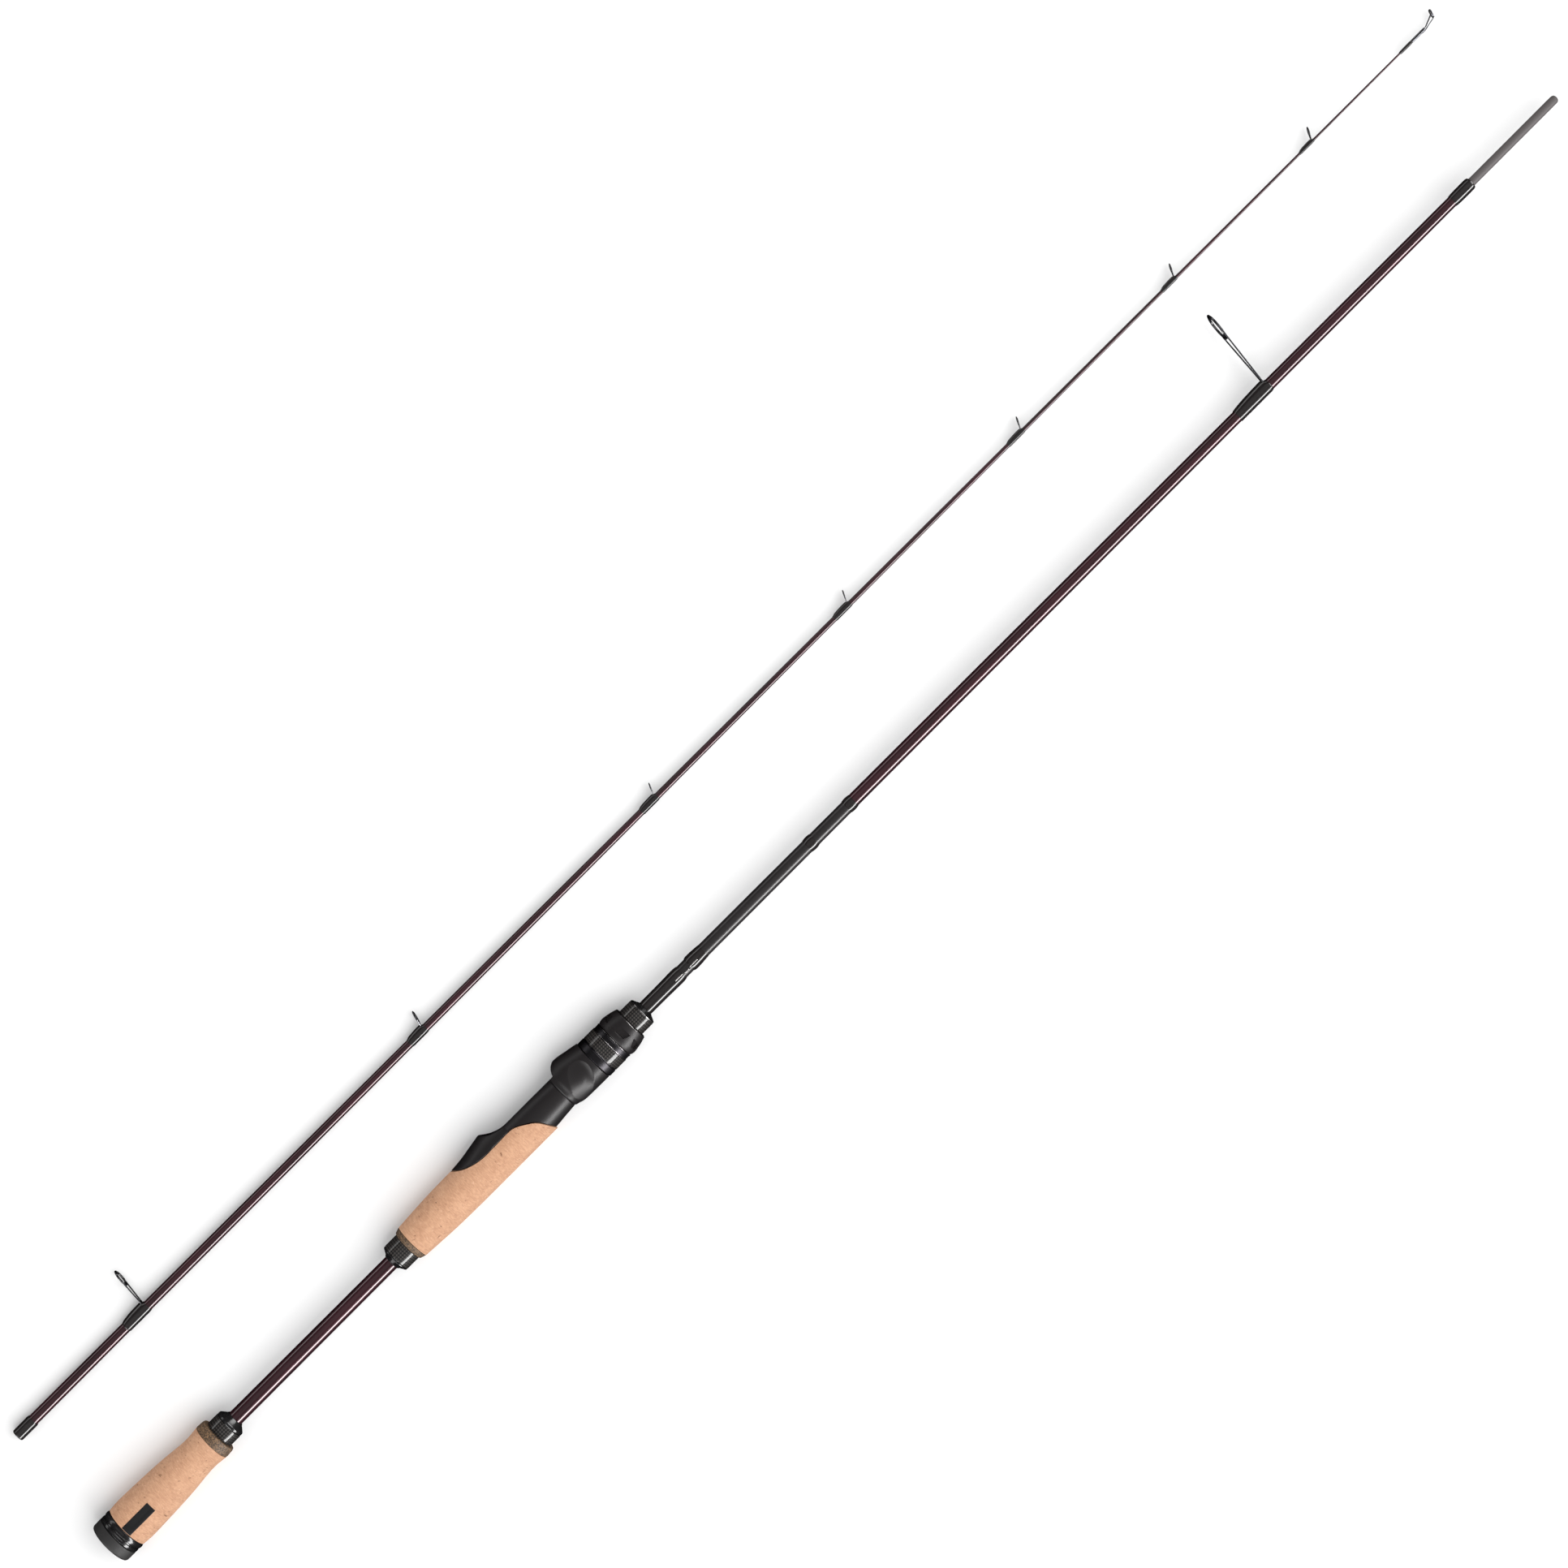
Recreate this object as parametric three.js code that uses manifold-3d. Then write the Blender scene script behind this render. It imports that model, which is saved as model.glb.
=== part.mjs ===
// Two-piece spinning rod, taken apart, its two sections lying side by side on a flat surface.
// Millimetres: +X runs along the rod towards its tip, +Y to the side the guides stand on, +Z up.
import * as THREE from 'three';
import { mergeVertices } from 'three/addons/utils/BufferGeometryUtils.js';
import Module from 'manifold-3d';

const wasm = await Module();
wasm.setup();

// ---- Clearances ----
const glueGap = 0.12; // round the blank, inside everything glued or wrapped on it
const endGap = 0.2; // between pieces that meet end to end
const seamGap = 0.3; // between the cork and the reel seat let into it
const slideGap = 0.3; // between the threaded barrel and what slides or turns on it

// ---- Where the sections lie ----
const sectionSpacing = 77.0; // from one section's axis to the other's
const tipSetback = 4.3; // the tip section's rear end, ahead of the butt face

// ---- Blanks ----
const buttBlankLength = 1044.0;
const buttRearRadius = 4.63;
const buttFrontRadius = 3.15;
const buttWall = 0.55;
const blankInset = 3.2; // depth of the butt cap over the blank's end
const ferruleWall = 0.58; // of the butt blank, round the spigot
const spigotRadius = buttFrontRadius - ferruleWall - glueGap;
const spigotShowing = 65.4;
const spigotInside = 55.0;
const tipBlankLength = 1082.0;
const socketWall = 0.63; // of the tip blank, round the spigot
const socketRadius = spigotRadius + glueGap;
const socketDepth = 68.0;
// Outside of the tip blank: share of its length, radius.
const tipRadii = [[0, socketRadius + socketWall], [0.325, 2.3], [0.555, 1.6], [1, 0.5]];
const tipWall = 0.5;

// ---- Thread: what slides and turns on it, and the sleeves that the nut passes over, follow its radius ----
const threadRadius = 9.2;
const threadPitch = 1.75;
const threadDepth = 0.4;
const threadsCut = 8; // turns of thread at the front of the barrel
const barrelBore = threadRadius + slideGap; // bore of the sliding hood, the lock nut and its grip ring
const checkStep = 0.5; // by which the check sleeves are slimmer than the thread
const checkRadius = threadRadius - checkStep;

// ---- Rear handle, from the butt face forwards ----
const capLength = 6.7;
const capRadius = 13.1;
const trimLength = 6.4;
const rearCorkLength = 64.5;
const rearCorkBulge = 13.4;
const rearCorkWaist = 10.7;
const rearBurlLength = 5.6;
const burlRadius = 11.4;
const rearSleeveLength = 7.4;
const rearCollarLength = 5.0;
const bareLength = 119.6;

// ---- Fore handle ----
const midCollarLength = 3.4;
const midSleeveLength = 8.8;
const midBurlLength = 3.4;
const midBurlRadius = 10.5;
const foreCorkLength = 99.0;
const foreCorkRadius = 12.2;

// ---- Reel seat ----
const saddleLength = 58.0; // the part of the seat that lies over the cork
const saddleHeight = 5.0; // height of the seam above the axis along the saddle
const shoulderLength = 15.4;
const shoulderStep = 0.8; // from the thread out to the shoulder that the sliding hood closes against
const shoulderFrontRadius = threadRadius + shoulderStep;
const shoulderFlare = 1.3;
const shoulderRearRadius = shoulderFrontRadius + shoulderFlare;
const padRise = 0.15; // from the thread's crests up to the reel foot's pad
const padHeight = threadRadius + padRise;
const hoodRise = 6.25; // from the pad up to the fixed hood's top
const hoodPeak = padHeight + hoodRise;
const hoodPeakSetback = 34.4; // from the cork's front end back to the fixed hood's top
const hoodMouthRun = 13.8; // the slanted mouth, from the hood's top forwards to the pad
const hoodWall = 1.2;
const footWidth = 13.6; // a reel foot's width, which both hoods take
const fixedPocketDepth = 12.0; // behind the top of the fixed hood
const barrelLength = 52.4;
const barrelWall = 2.2; // from the thread's crests in to the seat's wide bore
const seatBore = threadRadius - barrelWall;
const arborLength = 12.0;
const keyWidth = 2.6;
const keyHeight = 0.9;

// ---- Sliding hood and lock nut ----
const slidingHoodLength = 24.0;
const slidingHoodWall = 2.5;
const slidingHoodRadius = barrelBore + slidingHoodWall;
const slidingHoodRise = 6.05; // from the pad up to the sliding hood's top
const slidingHoodPeak = padHeight + slidingHoodRise;
const slidingPeakSetback = 9.2; // from the hood's rear rim to its top
const slidingRimWall = 0.85;
const slidingRimRadius = barrelBore + slidingRimWall;
const slidingPocketDepth = 15.5;
const thumbDepth = 1.3;
const thumbBowl = 4.0; // half the thickness of the bowl that hollows each side
const nutFlangeLength = 4.4;
const nutWall = 2.9;
const nutRadius = barrelBore + nutWall;
const nutBandLength = 6.6;
const nutBandThickness = 0.8;
const nutShoulderLength = 4.0;
const gripLength = 12.3;
const gripFrontWall = 1.1;
const gripFrontRadius = barrelBore + gripFrontWall;
const gripWindows = 6;
const gripWindowLength = 4.0;
const gripWindowWidth = 6.4;

// ---- Ahead of the seat ----
const frontSleeveLength = 8.5;
const frontCollarLength = 2.7;
const keeperRearWrapLength = 27.5;
const keeperGap = 5.8;
const keeperFrontWrapLength = 11.0;
const keeperHeight = 3.4;
const keeperWire = 0.9;
const keeperFoot = 5.5;
const keeperRoll = -12; // degrees from straight up, about the rod's axis
const wrapThickness = 0.35;
const trimWrapLength = 5.4;
const trimWrapSetbacks = [79.7, 109.7]; // ahead of the keeper's front wrap
const ferruleWrapLength = 14.4;
const tipFerruleWrapLength = 12.3;

// ---- Guides: sizes that every guide of a kind shares ----
// The ring's outside diameter and its band; the liner's wall (insert) and length; the frame's plate; half the
// frame's width at its foot (base); the legs, or 0 where a short neck carries the ring; the foot's height and
// width; and the epoxy over the foot (cover).
const buttKind = {
  ring: 17.0, band: 0.8, insert: 1.3, liner: 1.5, plate: 0.8,
  base: 2.6, leg: 1.5, foot: 0.8, footWidth: 2.6, cover: 0.5,
};
const stripperKind = {
  ring: 10.5, band: 0.6, insert: 1.0, liner: 1.25, plate: 0.7,
  base: 2.5, leg: 1.3, foot: 0.8, footWidth: 2.4, cover: 0.45,
};
const middleKind = {
  ring: 8.0, band: 0.55, insert: 0.75, liner: 0.95, plate: 0.55,
  base: 1.6, leg: 0, foot: 0.6, footWidth: 1.8, cover: 0.35,
};
const smallKind = {
  ring: 5.5, band: 0.45, insert: 0.6, liner: 0.8, plate: 0.5,
  base: 1.2, leg: 0, foot: 0.45, footWidth: 0.8, cover: 0.3,
};
// Where a guide's foot ends as a share of its blank, its top above the axis, its lean in degrees, its wrap.
const buttGuide = { name: 'butt_guide', kind: buttKind, share: 0.8502, top: 50.4, lean: 5.5, wrap: 22.8 };
const tipGuides = [
  { name: 'stripper_guide', kind: stripperKind, share: 0.0913, top: 26.1, lean: 5, wrap: 15.3 },
  { name: 'guide_1', kind: middleKind, share: 0.2892, top: 11.5, lean: 14.5, wrap: 11.0 },
  { name: 'guide_2', kind: smallKind, share: 0.454, top: 8.4, lean: 24, wrap: 11.2 },
  { name: 'guide_3', kind: smallKind, share: 0.5912, top: 8.1, lean: 26, wrap: 11.0 },
  { name: 'guide_4', kind: smallKind, share: 0.7146, top: 8.0, lean: 26, wrap: 11.0 },
  { name: 'guide_5', kind: smallKind, share: 0.8233, top: 8.0, lean: 26, wrap: 10.2 },
  { name: 'guide_6', kind: smallKind, share: 0.9209, top: 7.5, lean: 27, wrap: 9.8 },
];

// ---- Tip top ----
const tipTopTube = 10.0;
const tipTopOverhang = 1.0; // the tube beyond the blank's end
const tipTopWall = 0.28;
const tipTopRing = 5.2;
const tipTopBand = 0.45;
const tipTopInsert = 0.6;
const tipTopPlate = 0.9;
const tipTopReach = 8.3; // from the tube's front to the ring's centre
const tipTopRise = 3.25; // the ring's centre above the axis
const tipTopLean = 15;
const tipTopBrace = 0.3;
const tipTopWrapLength = 9.0;

// ---- Facets ----
const gripSides = 24;
const blankSides = 16;
const ringSides = 16;

// ---- Materials ----
function material(color, roughness, metalness = 0) {
  return new THREE.MeshStandardMaterial({ color, roughness, metalness });
}

const cork = material('#d3a376', 0.85);
const burlCork = material('#5b4a3c', 0.8);
const burgundyBlank = material('#2a0d12', 0.22);
const blackWrap = material('#0e0d0e', 0.15);
const blackSeat = material('#1c1b1c', 0.42);
const carbonWeave = material('#3a3638', 0.3);
const rubber = material('#222122', 0.8);
const blackTrim = material('#141314', 0.2);
const darkMetal = material('#4a4a4e', 0.35, 0.9);
const brightMetal = material('#8c8c90', 0.3, 1);
const greyGraphite = material('#5c595b', 0.7);
const ceramic = material('#17171a', 0.15);
const arborFoam = material('#8d8b84', 0.9);

const radians = THREE.MathUtils.degToRad;

// A height read off a list of [station, value] pairs, straight between them.
function along(list, x) {
  const last = list[list.length - 1];
  if (x <= list[0][0]) return list[0][1];
  if (x >= last[0]) return last[1];
  const i = list.findIndex(([station]) => station > x);
  const [x0, v0] = list[i - 1];
  const [x1, v1] = list[i];
  return THREE.MathUtils.mapLinear(x, x0, x1, v0, v1);
}

const buttRadiusAt = (x) => THREE.MathUtils.mapLinear(x, 0, buttBlankLength, buttRearRadius, buttFrontRadius);
const tipRadiusAt = (x) => along(tipRadii, x / tipBlankLength);

// A solid turned about the rod's axis. The outline holds [x, radius] pairs: the outside from rear to front,
// then the bore from front to rear. An outline that starts and ends on the axis has no bore.
function turned(outline, sides) {
  const points = outline.map(([x, radius]) => new THREE.Vector2(radius, x));
  if (outline[0][1] > 0) points.push(points[0].clone());
  return new THREE.LatheGeometry(points, sides).rotateZ(-Math.PI / 2);
}

// A plain round bar along the rod's axis.
function rod(start, end, radius, sides) {
  return turned([[start, 0], [start, radius], [end, radius], [end, 0]], sides);
}

// A plain pipe along the rod's axis.
function pipe(start, end, radius, bore, sides) {
  return turned([[start, radius], [end, radius], [end, bore], [start, bore]], sides);
}

// Lifts the guide side of a turned solid, so that its top follows the crest heights and its sides stay.
function crowned(geometry, radiusAt, crestAt, boreRadius = 0) {
  const position = geometry.attributes.position;
  for (let i = 0; i < position.count; i += 1) {
    const x = position.getX(i);
    const y = position.getY(i);
    const outside = Math.hypot(y, position.getZ(i)) > boreRadius + 0.01;
    if (y > 0 && outside) position.setY(i, (y * crestAt(x)) / radiusAt(x));
  }
  return geometry;
}

// An outline in x and y, cut straight across the rod from side to side.
function slab(shape, width) {
  const geometry = new THREE.ExtrudeGeometry(shape, { depth: width, bevelEnabled: false, curveSegments: 8 });
  return geometry.translate(0, 0, -width / 2);
}

function block(x0, x1, y0, y1, z0, z1) {
  const geometry = new THREE.BoxGeometry(x1 - x0, y1 - y0, z1 - z0);
  return geometry.translate((x0 + x1) / 2, (y0 + y1) / 2, (z0 + z1) / 2);
}

// A round bar from one point to another.
function bar(from, to, radius, sides = 6) {
  const path = new THREE.Vector3().subVectors(to, from);
  const geometry = new THREE.CylinderGeometry(radius, radius, path.length(), sides);
  const turn = new THREE.Quaternion().setFromUnitVectors(THREE.Object3D.DEFAULT_UP, path.clone().normalize());
  const middle = new THREE.Vector3().addVectors(from, to).multiplyScalar(0.5);
  return geometry.applyQuaternion(turn).translate(middle.x, middle.y, middle.z);
}

function toSolid(geometry) {
  const bare = geometry.clone();
  bare.deleteAttribute('normal');
  bare.deleteAttribute('uv');
  const merged = mergeVertices(bare);
  const corners = merged.index.array;
  const kept = [];
  for (let i = 0; i < corners.length; i += 3) {
    const [a, b, c] = [corners[i], corners[i + 1], corners[i + 2]];
    if (a !== b && b !== c && c !== a) kept.push(a, b, c);
  }
  const vertProperties = new Float32Array(merged.attributes.position.array);
  return new wasm.Manifold(new wasm.Mesh({ numProp: 3, vertProperties, triVerts: new Uint32Array(kept) }));
}

function toGeometry(solid) {
  const mesh = solid.getMesh();
  const geometry = new THREE.BufferGeometry();
  geometry.setAttribute('position', new THREE.BufferAttribute(mesh.vertProperties, 3));
  geometry.setIndex(new THREE.BufferAttribute(mesh.triVerts, 1));
  geometry.computeVertexNormals();
  return geometry;
}

function joined(...geometries) {
  return geometries.map(toSolid).reduce((sum, piece) => sum.add(piece));
}

function cut(solid, ...geometries) {
  return geometries.map(toSolid).reduce((rest, piece) => rest.subtract(piece), solid);
}

function add(parent, name, geometry, finish, x = 0) {
  const mesh = new THREE.Mesh(geometry, finish);
  mesh.name = name;
  mesh.position.x = x;
  parent.add(mesh);
  return mesh;
}

// A turned ring glued round a blank, with its own length and an outside given as [share of length, radius].
function sleeve(start, length, outside, radiusAt, sides = gripSides) {
  const outer = outside.map(([share, radius]) => [start + share * length, radius]);
  const bore = radiusAt(start) + glueGap;
  return turned([...outer, [start + length, bore], [start, bore]], sides);
}

// A smooth swelling or waist through a few [share of length, radius] points.
function flowing(points, count) {
  const curve = new THREE.SplineCurve(points.map(([share, radius]) => new THREE.Vector2(share, radius)));
  return curve.getPoints(count).map((point) => [point.x, point.y]);
}

const rodGroup = new THREE.Group();
const buttSection = new THREE.Group();
const tipSection = new THREE.Group();
rodGroup.add(buttSection, tipSection);

// ---- Butt blank and spigot ----
{
  const front = buttBlankLength;
  const plugStart = front - spigotInside;
  const plugBore = spigotRadius + glueGap;
  const outline = [
    [blankInset, buttRadiusAt(blankInset)],
    [front, buttRadiusAt(front)],
    [front, plugBore],
    [plugStart, plugBore],
    [blankInset, buttRadiusAt(blankInset) - buttWall],
  ];
  add(buttSection, 'butt_blank', turned(outline, blankSides), burgundyBlank);
  const end = front + spigotShowing;
  const rounding = spigotRadius * 0.45;
  const spigot = [
    [plugStart + endGap, 0],
    [plugStart + endGap, spigotRadius],
    [end - rounding, spigotRadius],
    [end - rounding * 0.35, spigotRadius - rounding * 0.35],
    [end, spigotRadius - rounding],
    [end, 0],
  ];
  add(buttSection, 'ferrule_spigot', turned(spigot, blankSides), greyGraphite);
}

// ---- Rear handle ----
let station = 0;
{
  const edge = 1.3;
  const bore = buttRadiusAt(blankInset) + glueGap;
  const cap = [
    [0, 0],
    [0, capRadius - edge],
    [edge * 0.3, capRadius - edge * 0.3],
    [edge, capRadius],
    [capLength, capRadius],
    [capLength, bore],
    [blankInset - endGap, bore],
    [blankInset - endGap, 0],
  ];
  add(buttSection, 'butt_cap', turned(cap, gripSides), rubber);
  station = capLength + endGap;
  const ring = [[0, capRadius], [0.3, capRadius], [0.34, capRadius - 0.6], [0.46, capRadius - 0.6]];
  ring.push([0.5, capRadius], [1, capRadius - 0.2]);
  add(buttSection, 'butt_trim_ring', sleeve(station, trimLength, ring, buttRadiusAt), blackTrim);
  station += trimLength + endGap;
  const corkShape = [[0, rearCorkBulge - 0.4], [0.14, rearCorkBulge], [0.56, rearCorkBulge - 1.1]];
  corkShape.push([0.84, rearCorkWaist], [1, burlRadius]);
  const grip = sleeve(station, rearCorkLength, flowing(corkShape, 9), buttRadiusAt);
  add(buttSection, 'rear_cork_grip', grip, cork);
  station += rearCorkLength + endGap;
  const burl = sleeve(station, rearBurlLength, [[0, burlRadius], [1, burlRadius - 0.3]], buttRadiusAt);
  add(buttSection, 'rear_burl_ring', burl, burlCork);
  station += rearBurlLength + endGap;
  const check = sleeve(station, rearSleeveLength, [[0, checkRadius], [1, checkRadius]], buttRadiusAt);
  add(buttSection, 'rear_check_sleeve', check, carbonWeave);
  station += rearSleeveLength + endGap;
  const lip = buttRadiusAt(station) + glueGap + 0.3;
  const cone = sleeve(station, rearCollarLength, [[0, checkRadius - 0.4], [1, lip]], buttRadiusAt);
  add(buttSection, 'rear_check_collar', cone, blackTrim);
  station += rearCollarLength + bareLength;
}

// ---- Fore handle ----
const foreCorkStart = station + midCollarLength + midSleeveLength + midBurlLength + 3 * endGap;
const corkFront = foreCorkStart + foreCorkLength;
const saddleStart = corkFront - saddleLength;
{
  const lip = buttRadiusAt(station) + glueGap + 0.3;
  const cone = sleeve(station, midCollarLength, [[0, lip], [1, checkRadius - 0.3]], buttRadiusAt);
  add(buttSection, 'mid_check_collar', cone, blackTrim);
  station += midCollarLength + endGap;
  const check = sleeve(station, midSleeveLength, [[0, checkRadius], [1, checkRadius]], buttRadiusAt);
  add(buttSection, 'mid_check_sleeve', check, carbonWeave);
  station += midSleeveLength + endGap;
  const burl = sleeve(station, midBurlLength, [[0, checkRadius + 0.5], [1, midBurlRadius]], buttRadiusAt);
  add(buttSection, 'mid_burl_ring', burl, burlCork);
}

// The ground above the seam between cork and seat, which falls from the top of the cork along the saddle
// and round its front end to the underside. The seam moves forwards and up by the shift.
function aboveSeam(shift) {
  const flatStart = saddleStart + saddleLength * 0.3;
  const flatEnd = saddleStart + saddleLength * 0.7;
  const points = [
    [saddleStart, foreCorkRadius],
    [saddleStart + saddleLength * 0.13, (foreCorkRadius + saddleHeight) / 2 - 0.9],
    [flatStart, saddleHeight + 0.1],
    [(flatStart + flatEnd) / 2, saddleHeight],
    [flatEnd, saddleHeight - 0.1],
    [saddleStart + saddleLength * 0.82, saddleHeight * 0.35],
    [saddleStart + saddleLength * 0.92, -saddleHeight * 0.6],
    [corkFront, -foreCorkRadius],
  ];
  const beyond = corkFront + shoulderLength + barrelLength + 5;
  const shape = new THREE.Shape();
  shape.moveTo(saddleStart + shift, hoodPeak + 5);
  shape.lineTo(saddleStart + shift, foreCorkRadius + shift);
  shape.splineThru(points.slice(1).map(([x, y]) => new THREE.Vector2(x + shift, y + shift)));
  shape.lineTo(corkFront + shift, -hoodPeak - 5);
  shape.lineTo(beyond, -hoodPeak - 5);
  shape.lineTo(beyond, hoodPeak + 5);
  shape.closePath();
  return slab(shape, 4 * hoodPeak);
}

{
  const shape = [[0, midBurlRadius + 0.1], [0.2, foreCorkRadius - 0.5], [0.36, foreCorkRadius - 0.1]];
  shape.push([0.6, foreCorkRadius], [1, foreCorkRadius]);
  const whole = toSolid(sleeve(foreCorkStart, foreCorkLength, flowing(shape, 7), buttRadiusAt));
  add(buttSection, 'fore_cork_grip', toGeometry(cut(whole, aboveSeam(-seamGap / 2))), cork);
}

// ---- Reel seat: saddle, fixed hood, foot pad and threaded barrel in one piece ----
const shoulderFront = corkFront + shoulderLength;
const barrelFront = shoulderFront + barrelLength;
const seatPeakAt = corkFront - hoodPeakSetback;

function seatBody(inset) {
  const sides = [
    [saddleStart, foreCorkRadius],
    [seatPeakAt, foreCorkRadius + 0.1],
    [corkFront, shoulderRearRadius],
    [shoulderFront, shoulderFrontRadius],
  ];
  const run = seatPeakAt - saddleStart;
  const climb = hoodPeak - foreCorkRadius;
  const mouthFoot = seatPeakAt + hoodMouthRun;
  const crest = [
    [saddleStart, foreCorkRadius],
    [saddleStart + run * 0.34, foreCorkRadius + climb * 0.18],
    [saddleStart + run * 0.64, foreCorkRadius + climb * 0.53],
    [seatPeakAt, hoodPeak],
    [mouthFoot, hoodPeak],
    [mouthFoot + 1, shoulderRearRadius + 0.4],
    [corkFront, shoulderRearRadius],
    [shoulderFront, shoulderFrontRadius],
  ];
  const stations = [0, 0.34, 0.64, 0.82, 1].map((share) => saddleStart + share * run);
  stations.push(mouthFoot, mouthFoot + 1, corkFront, shoulderFront);
  const outer = stations.map((x) => [x, along(sides, x) - inset]);
  const body = turned([[saddleStart, 0], ...outer, [shoulderFront, 0]], gripSides);
  return crowned(body, (x) => along(sides, x) - inset, (x) => along(crest, x) - inset);
}

function threadedBarrel() {
  const threadStart = barrelFront - threadsCut * threadPitch - 1;
  const outline = [[shoulderFront - 1, 0], [shoulderFront - 1, threadRadius]];
  for (let turn = 0; turn < threadsCut; turn += 1) {
    const x = threadStart + turn * threadPitch;
    outline.push([x, threadRadius]);
    outline.push([x + threadPitch / 2, threadRadius - threadDepth]);
  }
  outline.push([barrelFront - 1, threadRadius], [barrelFront, threadRadius - threadDepth], [barrelFront, 0]);
  return turned(outline, gripSides);
}

// Everything above the reel foot's pad, from the fixed hood's slanted mouth forwards.
function footBay() {
  const mouthTop = seatPeakAt + 1.2;
  const mouthFoot = seatPeakAt + hoodMouthRun;
  const shape = new THREE.Shape();
  shape.moveTo(mouthTop, hoodPeak + 4);
  shape.lineTo(mouthTop, hoodPeak - 0.3);
  shape.quadraticCurveTo((mouthTop + mouthFoot) / 2 - 1, padHeight + 0.8, mouthFoot, padHeight);
  shape.lineTo(shoulderFront + 1, padHeight);
  shape.lineTo(shoulderFront + 1, hoodPeak + 4);
  shape.closePath();
  return slab(shape, 4 * hoodPeak);
}

{
  const outside = joined(seatBody(0), threadedBarrel());
  const pocketStart = seatPeakAt - fixedPocketDepth;
  const pocketEnd = seatPeakAt + hoodMouthRun + 2;
  const footSpace = block(pocketStart, pocketEnd, padHeight, hoodPeak + 4, -footWidth / 2, footWidth / 2);
  const pocket = toSolid(seatBody(hoodWall)).intersect(toSolid(footSpace));
  const blankBore = buttRadiusAt(saddleStart) + glueGap;
  const smallBore = rod(saddleStart - 5, barrelFront + 5, blankBore, blankSides);
  const largeBore = rod(corkFront + 1, barrelFront + 5, seatBore, blankSides);
  const keyHalf = keyWidth / 2 + slideGap;
  const keyFloor = threadRadius - keyHeight - slideGap;
  const keyway = block(shoulderFront + 1, barrelFront + 5, keyFloor, hoodPeak, -keyHalf, keyHalf);
  const whole = outside.intersect(toSolid(aboveSeam(seamGap / 2)));
  const seat = cut(whole, footBay(), smallBore, largeBore, keyway);
  add(buttSection, 'reel_seat', toGeometry(seat.subtract(pocket)), blackSeat);
  const arbor = [[0, seatBore - glueGap], [1, seatBore - glueGap]];
  const rearArbor = sleeve(corkFront + 1 + endGap, arborLength, arbor, buttRadiusAt, blankSides);
  add(buttSection, 'seat_arbor_rear', rearArbor, arborFoam);
  const frontArbor = sleeve(barrelFront - arborLength, arborLength, arbor, buttRadiusAt, blankSides);
  add(buttSection, 'seat_arbor_front', frontArbor, arborFoam);
}

// ---- Sliding hood: closed against the seat's shoulder, its key in the barrel's keyway ----
const hoodStart = shoulderFront + endGap;
const hoodEnd = hoodStart + slidingHoodLength;

function slidingBody(inset) {
  const peakAt = hoodStart + slidingPeakSetback;
  const rimEnd = hoodStart + slidingPeakSetback * 0.5;
  const sides = [
    [hoodStart, slidingRimRadius],
    [hoodStart + slidingPeakSetback * 0.25, slidingRimRadius + 0.4],
    [rimEnd, slidingHoodRadius - 0.4],
    [peakAt, slidingHoodRadius],
    [hoodEnd, slidingHoodRadius + 0.2],
  ];
  const crest = [
    [hoodStart, slidingHoodPeak - 0.6],
    [peakAt, slidingHoodPeak],
    [hoodStart + slidingHoodLength * 0.7, slidingHoodPeak - 1.2],
    [hoodEnd, slidingHoodRadius + 0.8],
  ];
  const stations = [...sides.slice(0, 4).map(([x]) => x), hoodStart + slidingHoodLength * 0.7, hoodEnd];
  const outline = [[hoodStart, 0], ...stations.map((x) => [x, along(sides, x) - inset]), [hoodEnd, 0]];
  const body = turned(outline, gripSides);
  return crowned(body, (x) => along(sides, x) - inset, (x) => along(crest, x) - inset);
}

{
  const peakAt = hoodStart + slidingPeakSetback;
  const mouth = new THREE.Shape();
  mouth.moveTo(hoodStart - 1, padHeight);
  mouth.lineTo(hoodStart + slidingPeakSetback * 0.3, padHeight);
  const lipAt = peakAt - 0.6;
  mouth.quadraticCurveTo(hoodStart + slidingPeakSetback * 0.42, hoodPeak - 1.6, lipAt, slidingHoodPeak);
  mouth.lineTo(lipAt, hoodPeak + 4);
  mouth.lineTo(hoodStart - 1, hoodPeak + 4);
  mouth.closePath();
  const pocketEnd = hoodStart + slidingPocketDepth;
  const footSpace = block(hoodStart - 1, pocketEnd, 0, hoodPeak + 4, -footWidth / 2, footWidth / 2);
  const pocket = toSolid(slidingBody(hoodWall)).intersect(toSolid(footSpace));
  const bore = rod(hoodStart - 1, hoodEnd + 1, barrelBore, gripSides);
  const keyFoot = threadRadius - keyHeight;
  const key = block(pocketEnd + 1, hoodEnd, keyFoot, barrelBore + 0.6, -keyWidth / 2, keyWidth / 2);
  const thumbs = [1, -1].map((side) => {
    const bowl = new THREE.SphereGeometry(1, 16, 10);
    bowl.scale(slidingHoodLength * 0.42, slidingHoodRadius * 0.9, thumbBowl);
    const reach = slidingHoodRadius + thumbBowl - thumbDepth;
    return bowl.translate(hoodStart + slidingHoodLength * 0.56, 2.5, side * reach);
  });
  const shell = cut(toSolid(slidingBody(0)), slab(mouth, 4 * hoodPeak), bore, ...thumbs).subtract(pocket);
  add(buttSection, 'sliding_hood', toGeometry(shell.add(toSolid(key))), blackSeat);
}

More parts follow.
